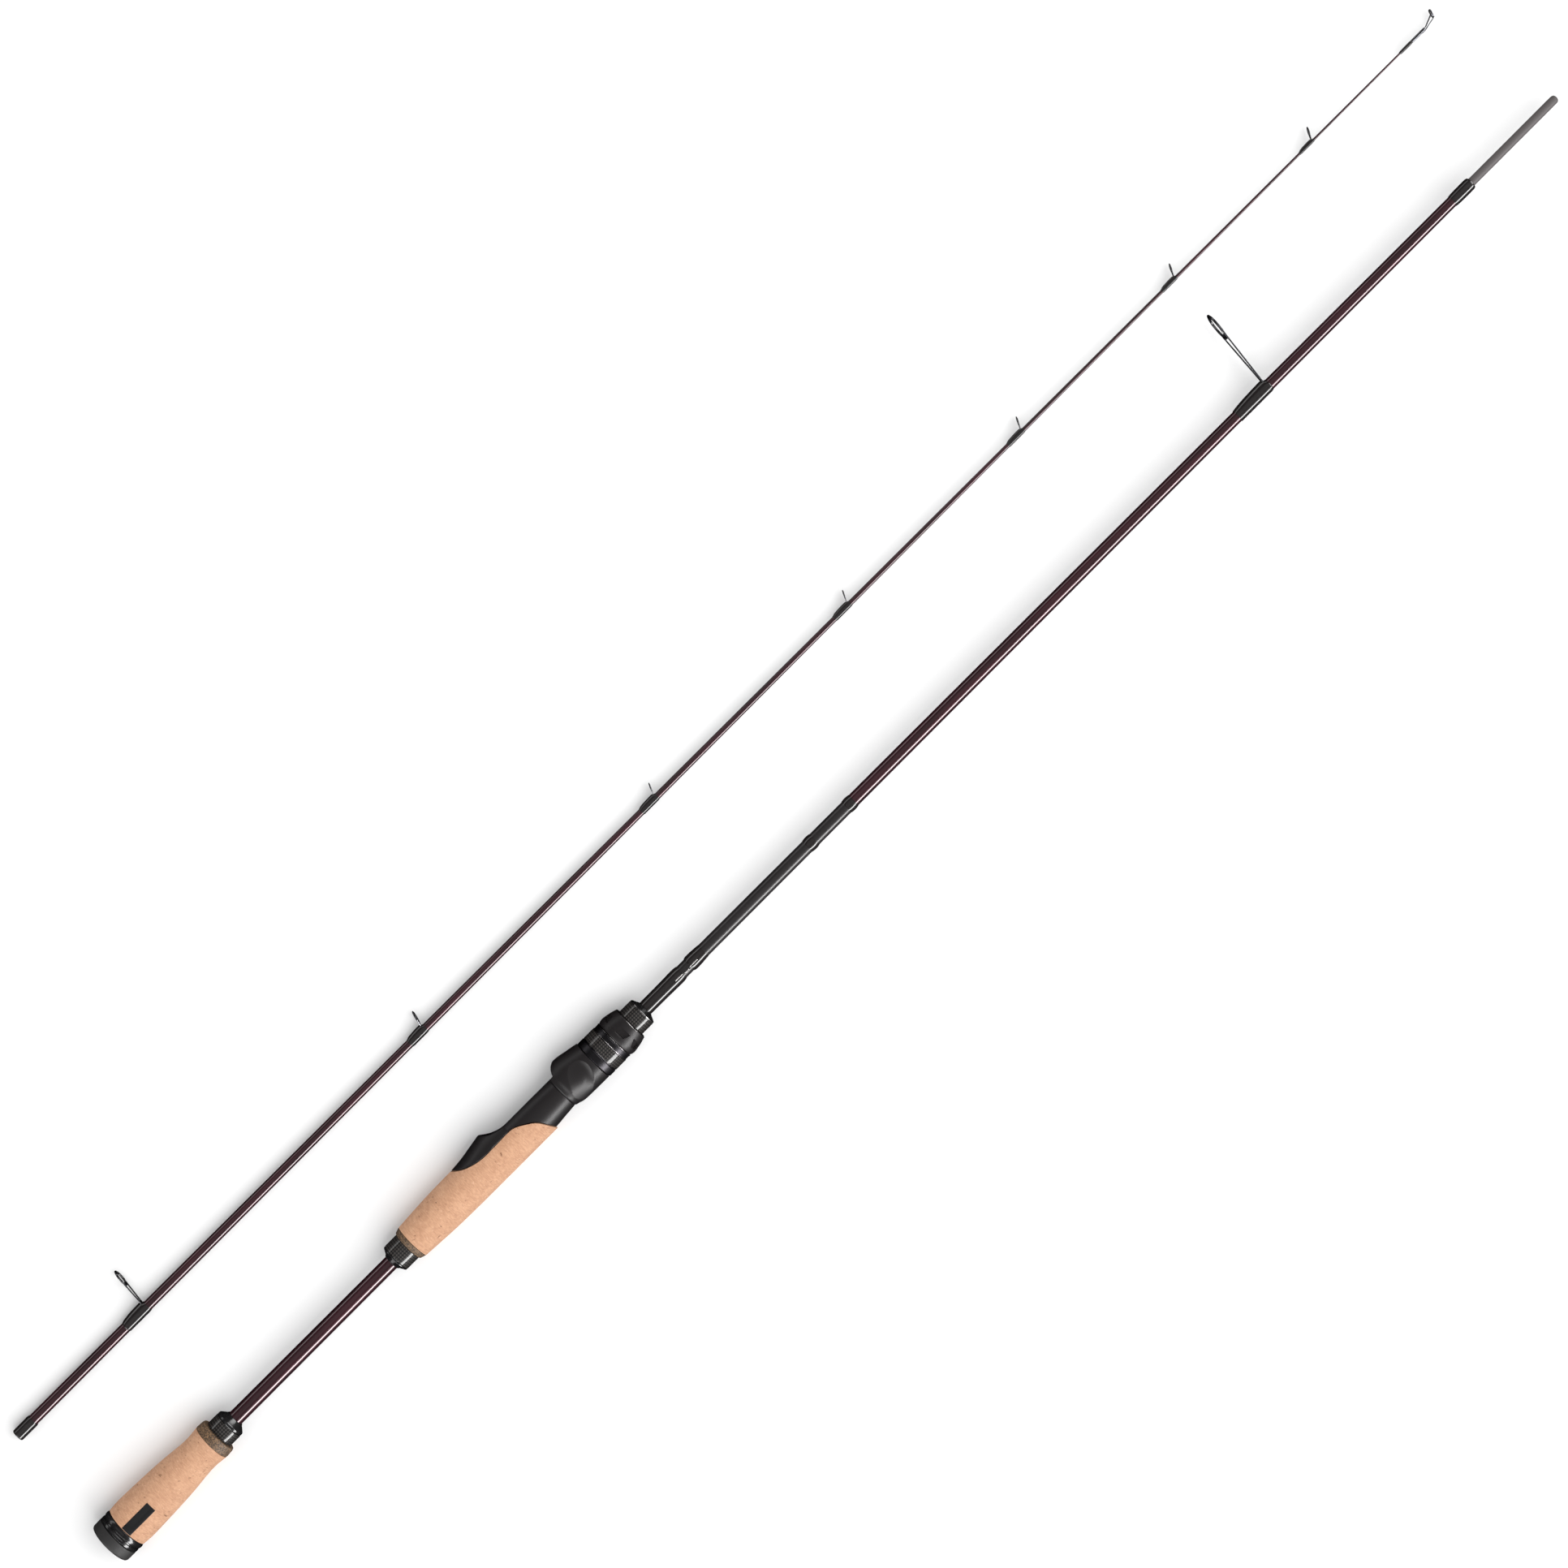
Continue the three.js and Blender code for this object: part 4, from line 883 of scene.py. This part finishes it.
def hoodBody(inset):
    # the closed body before its openings; an inset one is the inside of its walls
    length = hoodEnd - hoodStart
    peak = hoodStart + hood["peakBack"]
    sides = smoothLine([(hoodStart, hood["rim"] - 0.25), (hoodStart + 0.5, hood["rim"] + 0.1),
                        (hoodStart + 2.4, hood["rim"] + 0.55), (hoodStart + 4.9, hood["side"] - 0.3),
                        (peak, hood["side"] + 0.05), (hoodEnd, hood["side"] + 0.2)], 5)
    crest = smoothLine([(hoodStart, hood["peak"] - 2.6), (hoodStart + 2.5, hood["peak"] - 0.7),
                        (peak, hood["peak"]), (hoodStart + length * 0.7, hood["peak"] - 1.25),
                        (hoodEnd, hood["side"] + 0.8)], 8)
    places = stations(hoodStart, hoodEnd, 48)
    outline = [(hoodStart, 0)] + [(x, between(sides, x) - inset) for x in places] + [(hoodEnd, 0)]
    bm = spun(outline, 120, closed=False, soften=0)
    crowned(bm, lambda x: between(sides, x) - inset, lambda x: between(crest, x) - inset)
    return bm


def pressThumbs(bm):
    # a hollow for the thumb on each side: a round whose rear is cut off straight
    centre = Vector((hoodStart + hood["thumbAlong"], hood["thumbUp"]))
    across = Vector((math.cos(hood["thumbTilt"]), math.sin(hood["thumbTilt"])))
    smooth = hood["thumbBlend"]
    for vert in bm.verts:
        spread = math.hypot(vert.co.y, vert.co.z)
        if spread < hood["bore"] + 1.0:
            continue
        offset = Vector((vert.co.x, vert.co.y)) - centre
        along = (offset.x + offset.y) / math.sqrt(2) / hood["thumbLong"]
        beside = (offset.x - offset.y) / math.sqrt(2) / hood["thumbWide"]
        toRim = (1 - math.hypot(along, beside)) * hood["thumbWide"]
        toFlat = (offset.dot(across) + hood["thumbFlat"]) * 0.6
        inside = -math.log(math.exp(-smooth * toRim) + math.exp(-smooth * toFlat)) / smooth
        if inside > 0:
            share = min(1.0, inside / hood["thumbRun"])
            depth = hood["thumbDepth"] * (1 - (1 - share) ** 2)
            vert.co.y *= 1 - depth / spread
            vert.co.z *= 1 - depth / spread


def tube(start, end, radius, sides=96):
    return spun([(start, 0), (start, radius), (end, radius), (end, 0)], sides, closed=False, soften=0)


def makeHood():
    # cut for the mouth that faces the reel foot, the bore over the barrel and the pocket
    top = hood["peak"] + 4
    behind = hoodStart - 1
    lip = hoodStart + hood["peakBack"] - 1.2
    low = (hoodStart + hood["peakBack"] * 0.3, seat["pad"])
    control = (hoodStart + hood["peakBack"] * 0.42, hood["peak"] - 1.4)
    mouth = [(behind, seat["pad"])] + mouthCurve(low, control, (lip, hood["peak"] + 0.1))
    mouth += [(lip, top), (behind, top)]
    pocketEnd = hoodStart + hood["pocket"]
    room = [(behind, 0), (pocketEnd, 0), (pocketEnd, top), (behind, top)]
    pocket = carved(hoodBody(hood["wall"]), ("INTERSECT", prism(room, seat["foot"] / 2)))
    bore = tube(behind, hoodEnd + 1, hood["bore"])
    bm = carved(hoodBody(0), ("DIFFERENCE", prism(mouth, cutWidth)), ("DIFFERENCE", bore),
                ("DIFFERENCE", pocket))
    bm = moulded(bm, hood["grain"], 2)
    pressThumbs(bm)
    settle("slidingHood", bm, buttEnd, "hood", [seatFinish], ["sliding_hood"], crease=60)


nut = {
    "radius": 12.4,
    "bore": 9.5,
    "flange": 4.4,
    "groove": 0.6,
    "bandDepth": 0.92,
    "front": 10.6,
    "windows": 6,
    "windowAt": 0.31,  # share of the grip ring's length
    "windowLength": 4.2,
    "windowWidth": 6.2,
    "windowFloor": 0.45,  # below the ring's front radius
    "windowSlant": 1.6,
    "windowFlare": 1.8,
}


def makeNut():
    # flange, thin groove, the bed of the carbon band, and a grooved collar
    start, end = reach("lock_nut")
    bandStart, bandEnd = reach("nut_carbon_band")
    radius, bore = nut["radius"], nut["bore"]
    floor = radius - nut["bandDepth"]
    flangeEnd = start + nut["flange"]
    groove = radius - nut["groove"]
    outline = [(start, bore), (start, radius - 0.35), (start + 0.35, radius)]
    outline += [(flangeEnd - 0.3, radius + 0.02), (flangeEnd, radius - 0.25)]
    outline += [(flangeEnd, groove), (flangeEnd + 0.35, groove)]
    outline += [(flangeEnd + 0.35, radius - 0.2), (bandStart - 0.12, radius), (bandStart - 0.12, floor)]
    outline += [(bandEnd + 0.12, floor), (bandEnd + 0.12, radius), (bandEnd + 0.6, radius - 0.05)]
    outline += [(bandEnd + 0.85, radius - 0.35), (end - 1.0, radius - 0.35), (end - 0.75, radius - 0.1)]
    outline += [(end - 0.2, radius - 0.15), (end, radius - 0.4), (end, bore)]
    bm = spun(outline, 128, soften=0.06)
    # the chamfers beside the carbon band and at the front get the lighter metal, a painted glint
    paintZone(bm, bandStart - 0.25, bandStart, 1, floor + 0.4)
    paintZone(bm, bandEnd + 0.5, bandEnd + 0.9, 1, floor + 0.4)
    paintZone(bm, end - 0.3, end, 1, radius - 0.45)
    settle("lockNut", bm, buttEnd, "nut", [nutFinish, paintedGlintMetal], ["lock_nut"])

    top, bed = radius - 0.08, floor + 0.06
    band = spun([(bandStart, top), (bandEnd, top), (bandEnd, bed), (bandStart, bed)], 128, soften=0.12)
    settle("nutBand", band, buttEnd, "nut", [nutCarbonFinish], ["nut_carbon_band"])


def windowCutter(index, rear):
    # a slanted block whose top opens out, so that the window gets sloping edges
    floor = nut["front"] - nut["windowFloor"]
    slant = nut["windowSlant"] * (1 if index % 2 else -1)
    window = bmesh.new()
    bmesh.ops.create_cube(window, size=1.0)
    for vert in window.verts:
        along = 0.5 + vert.co.x
        high = nut["radius"] - 0.3 if vert.co.y > 0 else floor
        side = vert.co.z * nut["windowWidth"] + slant * along
        vert.co = (rear + along * nut["windowLength"], high, side)
    top = max(window.faces, key=lambda face: face.calc_center_median().y)
    middle = top.calc_center_median()
    grown = bmesh.ops.extrude_face_region(window, geom=[top])["geom"]
    flare = nut["windowFlare"]
    for vert in [item for item in grown if isinstance(item, bmesh.types.BMVert)]:
        vert.co.y += flare
        vert.co.x += math.copysign(flare, vert.co.x - middle.x)
        vert.co.z += math.copysign(flare, vert.co.z - middle.z)
    bmesh.ops.delete(window, geom=[top], context="FACES_ONLY")
    turn = Matrix.Rotation((index + 0.5) * math.tau / nut["windows"], 4, "X")
    bmesh.ops.transform(window, matrix=turn, verts=window.verts[:])
    bmesh.ops.recalc_face_normals(window, faces=window.faces[:])
    return window


def makeGripRing():
    start, end = reach("nut_grip_ring")
    length = end - start
    radius, front, bore = nut["radius"], nut["front"], nut["bore"]
    outline = [(start, bore), (start, radius - 0.6)]
    outline += smoothLine([(start + 0.5, radius - 0.25), (start + length * 0.18, radius + 0.15),
                           (start + length * 0.36, radius + 0.05), (start + length * 0.7, radius - 0.75),
                           (end - 0.9, front + 0.25)], 5)
    outline += [(end - 0.35, front + 0.05), (end, front - 0.35), (end, bore)]
    rear = start + length * nut["windowAt"]
    windows = [("DIFFERENCE", windowCutter(index, rear)) for index in range(nut["windows"])]
    bm = carved(spun(outline, 144, soften=0.08), *windows)
    # the windows' walls and the front chamfer get a lighter metal than the ring, a painted glint along those
    # edges
    for face in bm.faces:
        middle = face.calc_center_median()
        spread = math.hypot(middle.y, middle.z)
        outward = Vector((0, middle.y, middle.z)).normalized().dot(face.normal)
        inWindow = start + length * 0.26 < middle.x < start + length * 0.72 and spread < radius - 0.12
        if inWindow and spread > bore + 0.3 and outward < 0.97:
            face.material_index = 1
        if middle.x > end - 0.42 and spread > front - 0.4:
            face.material_index = 1
    settle("gripRing", bm, buttEnd, "nut", [seatFinish, paintedGlintMetal], ["nut_grip_ring"])


def makeButtBlank():
    start, end = reach("butt_blank")
    bore = blanks["buttFront"] - blanks["buttWall"]
    outline = [(x, buttRadius(x)) for x in stations(start, end, 60)]
    outline += [(end, bore), (end - 50, bore), (start, bore)]
    bm = spun(outline, 56, soften=0.05, sharpness=50)
    # black lacquer from the handle's front cone to the last trim wrap, burgundy elsewhere
    blackFrom = reach("front_check_collar")[0]
    blackTo = reach("trim_wrap_front")[1] - 1
    for x in (blackFrom, blackTo):
        bmesh.ops.bisect_plane(bm, geom=bm.verts[:] + bm.edges[:] + bm.faces[:], plane_co=(x, 0, 0),
                               plane_no=(1, 0, 0))
    paintZone(bm, blackFrom, blackTo, 1)
    settle("buttBlank", bm, buttEnd, "butt_section", [burgundyFinish, blackBlankFinish],
           ["butt_blank"])


# the nose is how far back from the end, and how much thinner
spigot = {"radius": 2.45, "nose": [(1.9, 0), (1.2, 0.12), (0.6, 0.42), (0.2, 0.85), (0, 1.35)]}


def makeSpigot():
    start, end = reach("ferrule_spigot")
    outline = [(start, 0), (start, spigot["radius"])]
    outline += [(end - back, spigot["radius"] - thinner) for back, thinner in spigot["nose"]] + [(end, 0)]
    bm = spun(outline, 56, closed=False, soften=0.1, sharpness=30)
    settle("spigot", bm, buttEnd, "butt_section", [graphiteFinish], ["ferrule_spigot"])


def makeTipBlank():
    start, end = reach("tip_blank", True)
    socket, socketEnd = blanks["socket"], start + blanks["socketDepth"]
    outline = [(x, tipRadius(x)) for x in stations(start, end, 90)]
    outline += [(end, 0), (socketEnd + 1, 0), (socketEnd, socket), (start, socket)]
    bm = spun(outline, 48, soften=0.05, sharpness=50)
    settle("tipBlank", bm, tipEnd, "tip_section", [tipBurgundyFinish], ["tip_blank"])


def makeWrap(name, node, rise, shape, origin=buttEnd, body="butt_section", radiusAt=buttRadius,
             paint=wrapFinish):
    # thread and epoxy round a blank; the shape is share of the length, share of the rise
    start, end = reach(node, origin is tipEnd)
    places = [(start + share * (end - start), lift) for share, lift in shape]
    outside = smoothLine([(x, radiusAt(x) + blanks["fit"] + rise * lift) for x, lift in places], 4)
    outline = outside + [(end, radiusAt(end) + 0.02), (start, radiusAt(start) + 0.02)]
    settle(name, spun(outline, 64, soften=0), origin, body, [paint], [node])


def makeWraps():
    makeWrap("keeperRearWrap", "keeper_rear_wrap", 0.35,
             ((0, 0.2), (0.04, 0.55), (0.3, 0.65), (0.6, 0.85), (0.8, 1.25), (0.92, 1.2), (1, 0.2)))
    makeWrap("keeperFrontWrap", "keeper_front_wrap", 0.35,
             ((0, 0.2), (0.1, 1.2), (0.25, 1.45), (0.5, 1.15), (0.8, 0.5), (1, 0.0)))
    bead = ((0, 0.0), (0.12, 0.5), (0.35, 0.95), (0.65, 0.95), (0.88, 0.5), (1, 0.0))
    makeWrap("rearTrimWrap", "trim_wrap_rear", 0.32, bead)
    makeWrap("frontTrimWrap", "trim_wrap_front", 0.32, bead)
    makeWrap("buttFerruleWrap", "butt_ferrule_wrap", 0.42,
             ((0, 0.15), (0.15, 0.75), (0.5, 1.0), (0.85, 1.0), (0.95, 0.7), (1, 0.0)))
    makeWrap("tipFerruleWrap", "tip_ferrule_wrap", 0.36,
             ((0, 0.1), (0.04, 0.8), (0.15, 0.9), (0.7, 1.0), (0.85, 1.15), (0.95, 0.8), (1, 0.1)),
             tipEnd, "tip_section", tipRadius, tipWrapFinish)


def wireMesh(points, radius):
    # round wire bent through the points
    line = bpy.data.curves.new("wire", "CURVE")
    line.dimensions = "3D"
    line.bevel_depth = radius
    line.bevel_resolution = 4
    line.use_fill_caps = True
    spline = line.splines.new("POLY")
    spline.points.add(len(points) - 1)
    for target, point in zip(spline.points, points):
        target.co = (*point, 1)
    holder = bpy.data.objects.new("wire", line)
    scene.collection.objects.link(holder)
    bm = baked(holder)
    bmesh.ops.remove_doubles(bm, verts=bm.verts[:], dist=0.0005)
    return bm


def plateMesh(loops, thickness, softness):
    # a flat pressing with holes: the first loop is its outside
    sheet = bpy.data.curves.new("plate", "CURVE")
    sheet.dimensions = "2D"
    sheet.fill_mode = "BOTH"
    sheet.extrude = thickness / 2 - softness
    sheet.bevel_depth = softness
    sheet.bevel_resolution = 2
    sheet.offset = -softness
    for loop in loops:
        spline = sheet.splines.new("POLY")
        spline.points.add(len(loop) - 1)
        for target, (across, up) in zip(spline.points, loop):
            target.co = (across, up, 0, 1)
        spline.use_cyclic_u = True
    holder = bpy.data.objects.new("plate", sheet)
    scene.collection.objects.link(holder)
    bm = baked(holder)
    bmesh.ops.remove_doubles(bm, verts=bm.verts[:], dist=0.0005)
    bmesh.ops.recalc_face_normals(bm, faces=bm.faces[:])
    return bm


# the gap is the clear length between its two wraps, the roll its turn off the guide side
keeper = {"wire": 0.9, "height": 3.4, "foot": 5.5, "gap": 5.8, "roll": -12.0}


def makeKeeper():
    gapStart = reach("keeper_rear_wrap")[1]
    front = gapStart + keeper["gap"]
    low = buttRadius(gapStart) + blanks["fit"] + keeper["wire"] / 2
    high = low + keeper["height"] - keeper["wire"]
    points = smoothLine([(gapStart - keeper["foot"], low), (gapStart - 1.6, low), (gapStart + 0.7, low + 1.2),
                         (gapStart + keeper["gap"] * 0.3, high), (gapStart + keeper["gap"] * 0.7, high),
                         (front - 0.7, low + 1.2), (front + 1.6, low), (front + keeper["foot"], low)], 6)
    bm = wireMesh([(x, 0, z) for x, z in points], keeper["wire"] / 2)
    roll = Matrix.Rotation(-math.radians(keeper["roll"]), 3, "X")
    bmesh.ops.rotate(bm, verts=bm.verts[:], matrix=roll)
    settle("hookKeeper", bm, buttEnd, "butt_section", [keeperFinish], ["hook_keeper"])


# ring is the outside across, base half the frame's width at its foot, leg 0 where a neck carries the ring
guideKinds = {
    "butt": {"ring": 17.0, "band": 0.8, "insert": 1.3, "liner": 1.4, "plate": 0.75,
             "base": 2.6, "leg": 1.5, "foot": 0.8, "footWidth": 2.6, "cover": 0.5},
    "stripper": {"ring": 10.5, "band": 0.6, "insert": 1.0, "liner": 1.15, "plate": 0.65,
                 "base": 2.5, "leg": 1.3, "foot": 0.8, "footWidth": 2.4, "cover": 0.45},
    "middle": {"ring": 8.0, "band": 0.55, "insert": 0.75, "liner": 0.85, "plate": 0.5,
               "base": 1.6, "leg": 0, "foot": 0.6, "footWidth": 1.8, "cover": 0.35},
    "small": {"ring": 5.5, "band": 0.45, "insert": 0.6, "liner": 0.7, "plate": 0.42,
              "base": 1.2, "leg": 0, "foot": 0.45, "footWidth": 0.8, "cover": 0.3},
}
# top is the height above the blank's axis, lean in degrees, wrap the length behind the frame
guides = [
    {"node": "butt_guide", "kind": "butt", "top": 50.4, "lean": 5.5, "wrap": 22.8},
    {"node": "stripper_guide", "kind": "stripper", "top": 26.1, "lean": 5, "wrap": 15.3},
    {"node": "guide_1", "kind": "middle", "top": 11.5, "lean": 14.5, "wrap": 11.0},
    {"node": "guide_2", "kind": "small", "top": 8.4, "lean": 24, "wrap": 11.2},
    {"node": "guide_3", "kind": "small", "top": 8.1, "lean": 26, "wrap": 11.0},
    {"node": "guide_4", "kind": "small", "top": 8.0, "lean": 26, "wrap": 11.0},
    {"node": "guide_5", "kind": "small", "top": 8.0, "lean": 26, "wrap": 10.2},
    {"node": "guide_6", "kind": "small", "top": 7.5, "lean": 27, "wrap": 9.8},
]


def arc(centre, radius, start, end, steps):
    # round a point that is so far up the guide's middle line
    return [(radius * math.cos(angle), centre + radius * math.sin(angle))
            for angle in stations(start, end, steps)]


def frameLoops(kind, centre):
    # seen along the rod: legs, or a short neck, that run up tangent to the ring's band
    outer = kind["ring"] / 2
    base = kind["base"]
    reachUp = math.hypot(base, centre)
    heading = math.atan2(centre, -base) - math.asin(outer / reachUp)
    run = math.sqrt(reachUp ** 2 - outer ** 2)
    up = Vector((math.cos(heading), math.sin(heading)))
    touch = Vector((base, 0)) + up * run
    touchAngle = math.atan2(touch.y - centre, touch.x)
    outside = [(-base, 0), (base, 0)] + arc(centre, outer, touchAngle, math.pi - touchAngle, 48)
    ring = arc(centre, outer - kind["band"], 0, math.tau, 64)[:-1]
    loops = [outside, ring]
    if kind["leg"] > 0:
        sill = kind["leg"] * 1.4
        side = Vector((base, 0)) + Vector((-up.y, up.x)) * kind["leg"]
        low = side + up * ((sill - side.y) / up.y)
        inner = outer - kind["leg"]
        high = Vector((up.y, -up.x)) * inner + up * -math.sqrt(outer ** 2 - inner ** 2)
        highAngle = math.atan2(high.y, high.x)
        window = [(-low.x, low.y), (low.x, low.y)]
        window += arc(centre, outer, highAngle, -math.pi - highAngle, 16)
        loops.append(window)
    return loops


def linerBore(half, bore, curve, steps):
    # the rounded inside of a liner, so far in from its flanks
    return [(half * math.cos(angle), bore + curve - curve * math.sin(angle))
            for angle in stations(0, math.pi, steps)]


def makeGuide(guide):
    kind = guideKinds[guide["kind"]]
    onButt = guide["node"] == "butt_guide"
    if onButt:
        origin, body, radiusAt = buttEnd, "butt_section", buttRadius
        metal, liner, epoxy = guideFinish, linerFinish, wrapFinish
    else:
        origin, body, radiusAt = tipEnd, "tip_section", tipRadius
        metal, liner, epoxy = tipGuideFinish, tipLinerFinish, tipWrapFinish
    name = guide["node"].replace("_", "")
    start, end = reach(guide["node"] + "_wrap", not onButt)
    at = start + guide["wrap"]
    footLength = guide["wrap"] * 0.85
    rise = radiusAt(at - footLength) + blanks["fit"]
    lean = math.radians(guide["lean"])
    centre = (guide["top"] - rise) / math.cos(lean) - kind["ring"] / 2
    tilt = Matrix.Translation((at, rise, 0)) @ Matrix.Rotation(-lean, 4, "Z")

    plate = plateMesh(frameLoops(kind, centre), kind["plate"], kind["plate"] * 0.22)
    upright = Matrix(((0, 0, 1, 0), (0, 1, 0, 0), (-1, 0, 0, 0), (0, 0, 0, 1)))
    bmesh.ops.transform(plate, matrix=tilt @ upright, verts=plate.verts[:])
    tread = [(-footLength, rise), (kind["plate"] * 0.3, rise), (kind["plate"] * 0.3, rise + kind["foot"]),
             (-footLength * 0.7, rise + kind["foot"]), (-footLength, rise + kind["foot"] * 0.4)]
    foot = prism([(at + x, y) for x, y in tread], kind["footWidth"] / 2)
    softenEdges(foot, kind["foot"] * 0.2, 40)
    joinInto(plate, foot)
    settle(name + "Frame", plate, origin, body, [metal], [guide["node"] + "_frame"])

    outer = kind["ring"] / 2 - kind["band"] - 0.02
    bore = outer - kind["insert"] - 0.1
    half = kind["liner"] / 2
    section = [(-half, outer), (half, outer)] + linerBore(half, bore, kind["insert"] * 0.75, 12)
    ring = spun(section, 72, soften=kind["insert"] * 0.12, sharpness=50)
    bmesh.ops.transform(ring, matrix=tilt @ Matrix.Translation((0, centre, 0)), verts=ring.verts[:])
    settle(name + "Ring", ring, origin, body, [liner], [guide["node"] + "_ring"])

    makeGuideWrap(name, guide, kind, origin, body, radiusAt, epoxy, at, rise, footLength)


def makeGuideWrap(name, guide, kind, origin, body, radiusAt, epoxy, at, rise, footLength):
    # epoxy that climbs over the foot towards the frame, and a few locking turns ahead of it
    blankRadius = radiusAt(at)
    start = at - guide["wrap"]
    lock = at + kind["plate"] * 1.6 + 0.5
    film = kind["cover"] * 0.6
    low = [(start, 0.15), (start + 0.7, 0.8), (start + 2.0, 1.0), (at - 1.5, 1.15), (at, 1.0),
           (lock - 0.5, 0.7), (lock, 0.1)]
    outside = smoothLine([(x, radiusAt(x) + film * lift + 0.05) for x, lift in low], 5)
    outline = outside + [(lock, radiusAt(lock) + 0.02), (start, radiusAt(start) + 0.02)]
    bm = spun(outline, 64, soften=0)
    top = rise + kind["foot"] + kind["cover"]
    crestLine = smoothLine([(start, outside[0][1]), (start + 1.0, blankRadius + film + 0.2),
                            (at - footLength, rise + kind["foot"] * 0.4 + 0.3),
                            (at - footLength * 0.68, rise + kind["foot"] + 0.3),
                            (at - 1.0, top + 0.1), (at, top - kind["cover"]),
                            (lock - 0.2, radiusAt(lock) + film * 0.8), (lock, radiusAt(lock) + 0.06)], 6)
    for vert in bm.verts:
        radius = math.hypot(vert.co.y, vert.co.z)
        if vert.co.y > 0 and radius > radiusAt(vert.co.x) + 0.04:
            crest = max(between(crestLine, vert.co.x), radius)
            lift = (vert.co.y / radius) ** 1.3
            vert.co.y *= 1 + (crest / radius - 1) * lift
    settle(name + "Wrap", bm, origin, body, [epoxy], [guide["node"] + "_wrap"])


def joinInto(bm, other):
    # adds a second shape to the same piece
    mesh = bpy.data.meshes.new("joining")
    other.to_mesh(mesh)
    other.free()
    bm.from_mesh(mesh)
    bpy.data.meshes.remove(mesh)


# a tube over the end of the blank, with a small ring on three wire braces
tipTop = {"tube": 10.0, "wall": 0.28, "ring": 5.2, "band": 0.45, "insert": 0.6, "plate": 0.9,
          "reach": 8.3, "rise": 3.25, "lean": 15.0, "brace": 0.3}


def makeTipTop():
    tubeStart = reach("tip_top_frame", True)[0]
    tubeEnd = tubeStart + tipTop["tube"]
    bore = tipRadius(tubeStart) + blanks["fit"]
    radius = bore + tipTop["wall"]
    bm = spun([(tubeStart, radius), (tubeEnd, radius), (tubeEnd, bore), (tubeStart, bore)], 40, soften=0.06)
    ringX = tubeEnd + tipTop["reach"]
    outer = tipTop["ring"] / 2
    half = tipTop["plate"] / 2
    lean = math.radians(tipTop["lean"])
    tilt = Matrix.Translation((ringX, tipTop["rise"], 0)) @ Matrix.Rotation(-lean, 4, "Z")
    inner = outer - tipTop["band"]
    section = [(-half, outer - 0.1), (0, outer + 0.02), (half, outer - 0.1), (half, inner), (-half, inner)]
    band = spun(section, 64, soften=0.1)
    bmesh.ops.transform(band, matrix=tilt, verts=band.verts[:])
    joinInto(bm, band)
    root = tubeEnd - 0.6
    middle = outer - tipTop["band"] / 2
    lowEnd = (ringX - middle * math.sin(lean), tipTop["rise"] - middle, 0)
    under = [(root - 2.0, -radius + 0.1, 0), (root, -radius + 0.05, 0), lowEnd]
    joinInto(bm, wireMesh(under, tipTop["brace"]))
    for side in (1, -1):
        start = (root, 0, side * (radius - 0.14))
        bend = (root + 1.6, tipTop["rise"] * 0.1, side * (radius + 0.25))
        joinInto(bm, wireMesh([start, bend, (ringX, tipTop["rise"], side * middle)], tipTop["brace"]))
    settle("tipTopFrame", bm, tipEnd, "tip_section", [tipGuideFinish], ["tip_top_frame"])
    outer = inner - 0.02
    bore = outer - tipTop["insert"]
    section = [(-half - 0.05, outer), (half + 0.05, outer)] + linerBore(half, bore, 0.35, 10)
    ring = spun(section, 56, soften=0.05, sharpness=50)
    bmesh.ops.transform(ring, matrix=tilt, verts=ring.verts[:])
    settle("tipTopRing", ring, tipEnd, "tip_section", [tipLinerFinish], ["tip_top_ring"])
    makeWrap("tipTopWrap", "tip_top_wrap", 0.32,
             ((0, 0.1), (0.1, 0.7), (0.3, 0.9), (0.8, 1.1), (0.95, 0.9), (1, 0.3)), tipEnd, "tip_section",
             tipRadius, tipWrapFinish)


makeCap()
makeTrimRing()
makeCork("rearCork", "rear_cork_grip", rearCorkRadius, lambda x: 0.0, 11, corkSkin["rearPits"])
makeLabel()
makeChecks()
print("rear handle made")
makeCork("foreCork", "fore_cork_grip", foreCorkRadius, corkOpening, 23, corkSkin["forePits"], 1.25)
makeSeat()
makeBarrel()
print("reel seat made")
makeHood()
makeNut()
makeGripRing()
print("sliding hood and lock nut made")
makeButtBlank()
makeSpigot()
makeTipBlank()
makeWraps()
makeKeeper()
print("blanks and wraps made")
for guide in guides:
    makeGuide(guide)
makeTipTop()
print("guides made")
# the hidden arbors keep their own shape
for hidden in ("seat_arbor_rear", "seat_arbor_front"):
    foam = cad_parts[hidden]
    foam.data.materials.clear()
    foam.data.materials.append(foamFinish)

ground = {"size": 6.0, "drop": 0.0004, "dark": (0.93, 0.93, 0.93), "light": (0.95, 0.95, 0.95)}


def layFloor():
    bm = bmesh.new()
    bmesh.ops.create_grid(bm, x_segments=1, y_segments=1, size=ground["size"])
    floor = toObject("floor", bm)
    floor.data.transform(Matrix.Translation((0, 0, -ground["drop"])))
    paint, tree, shader = newPaint("floorPaint", {"Roughness": 0.9, "Specular IOR Level": 0.1})
    tone = grain(tree, put(tree, "ShaderNodeTexCoord").outputs["Object"], 0.6, 2.0)
    link(tree, blend(tree, tone, ground["dark"], ground["light"]), shader.inputs["Base Color"])
    floor.data.materials.append(paint)
    floor.visible_glossy = False  # so that the gloss keeps its dark edges


layFloor()
print("floor laid")
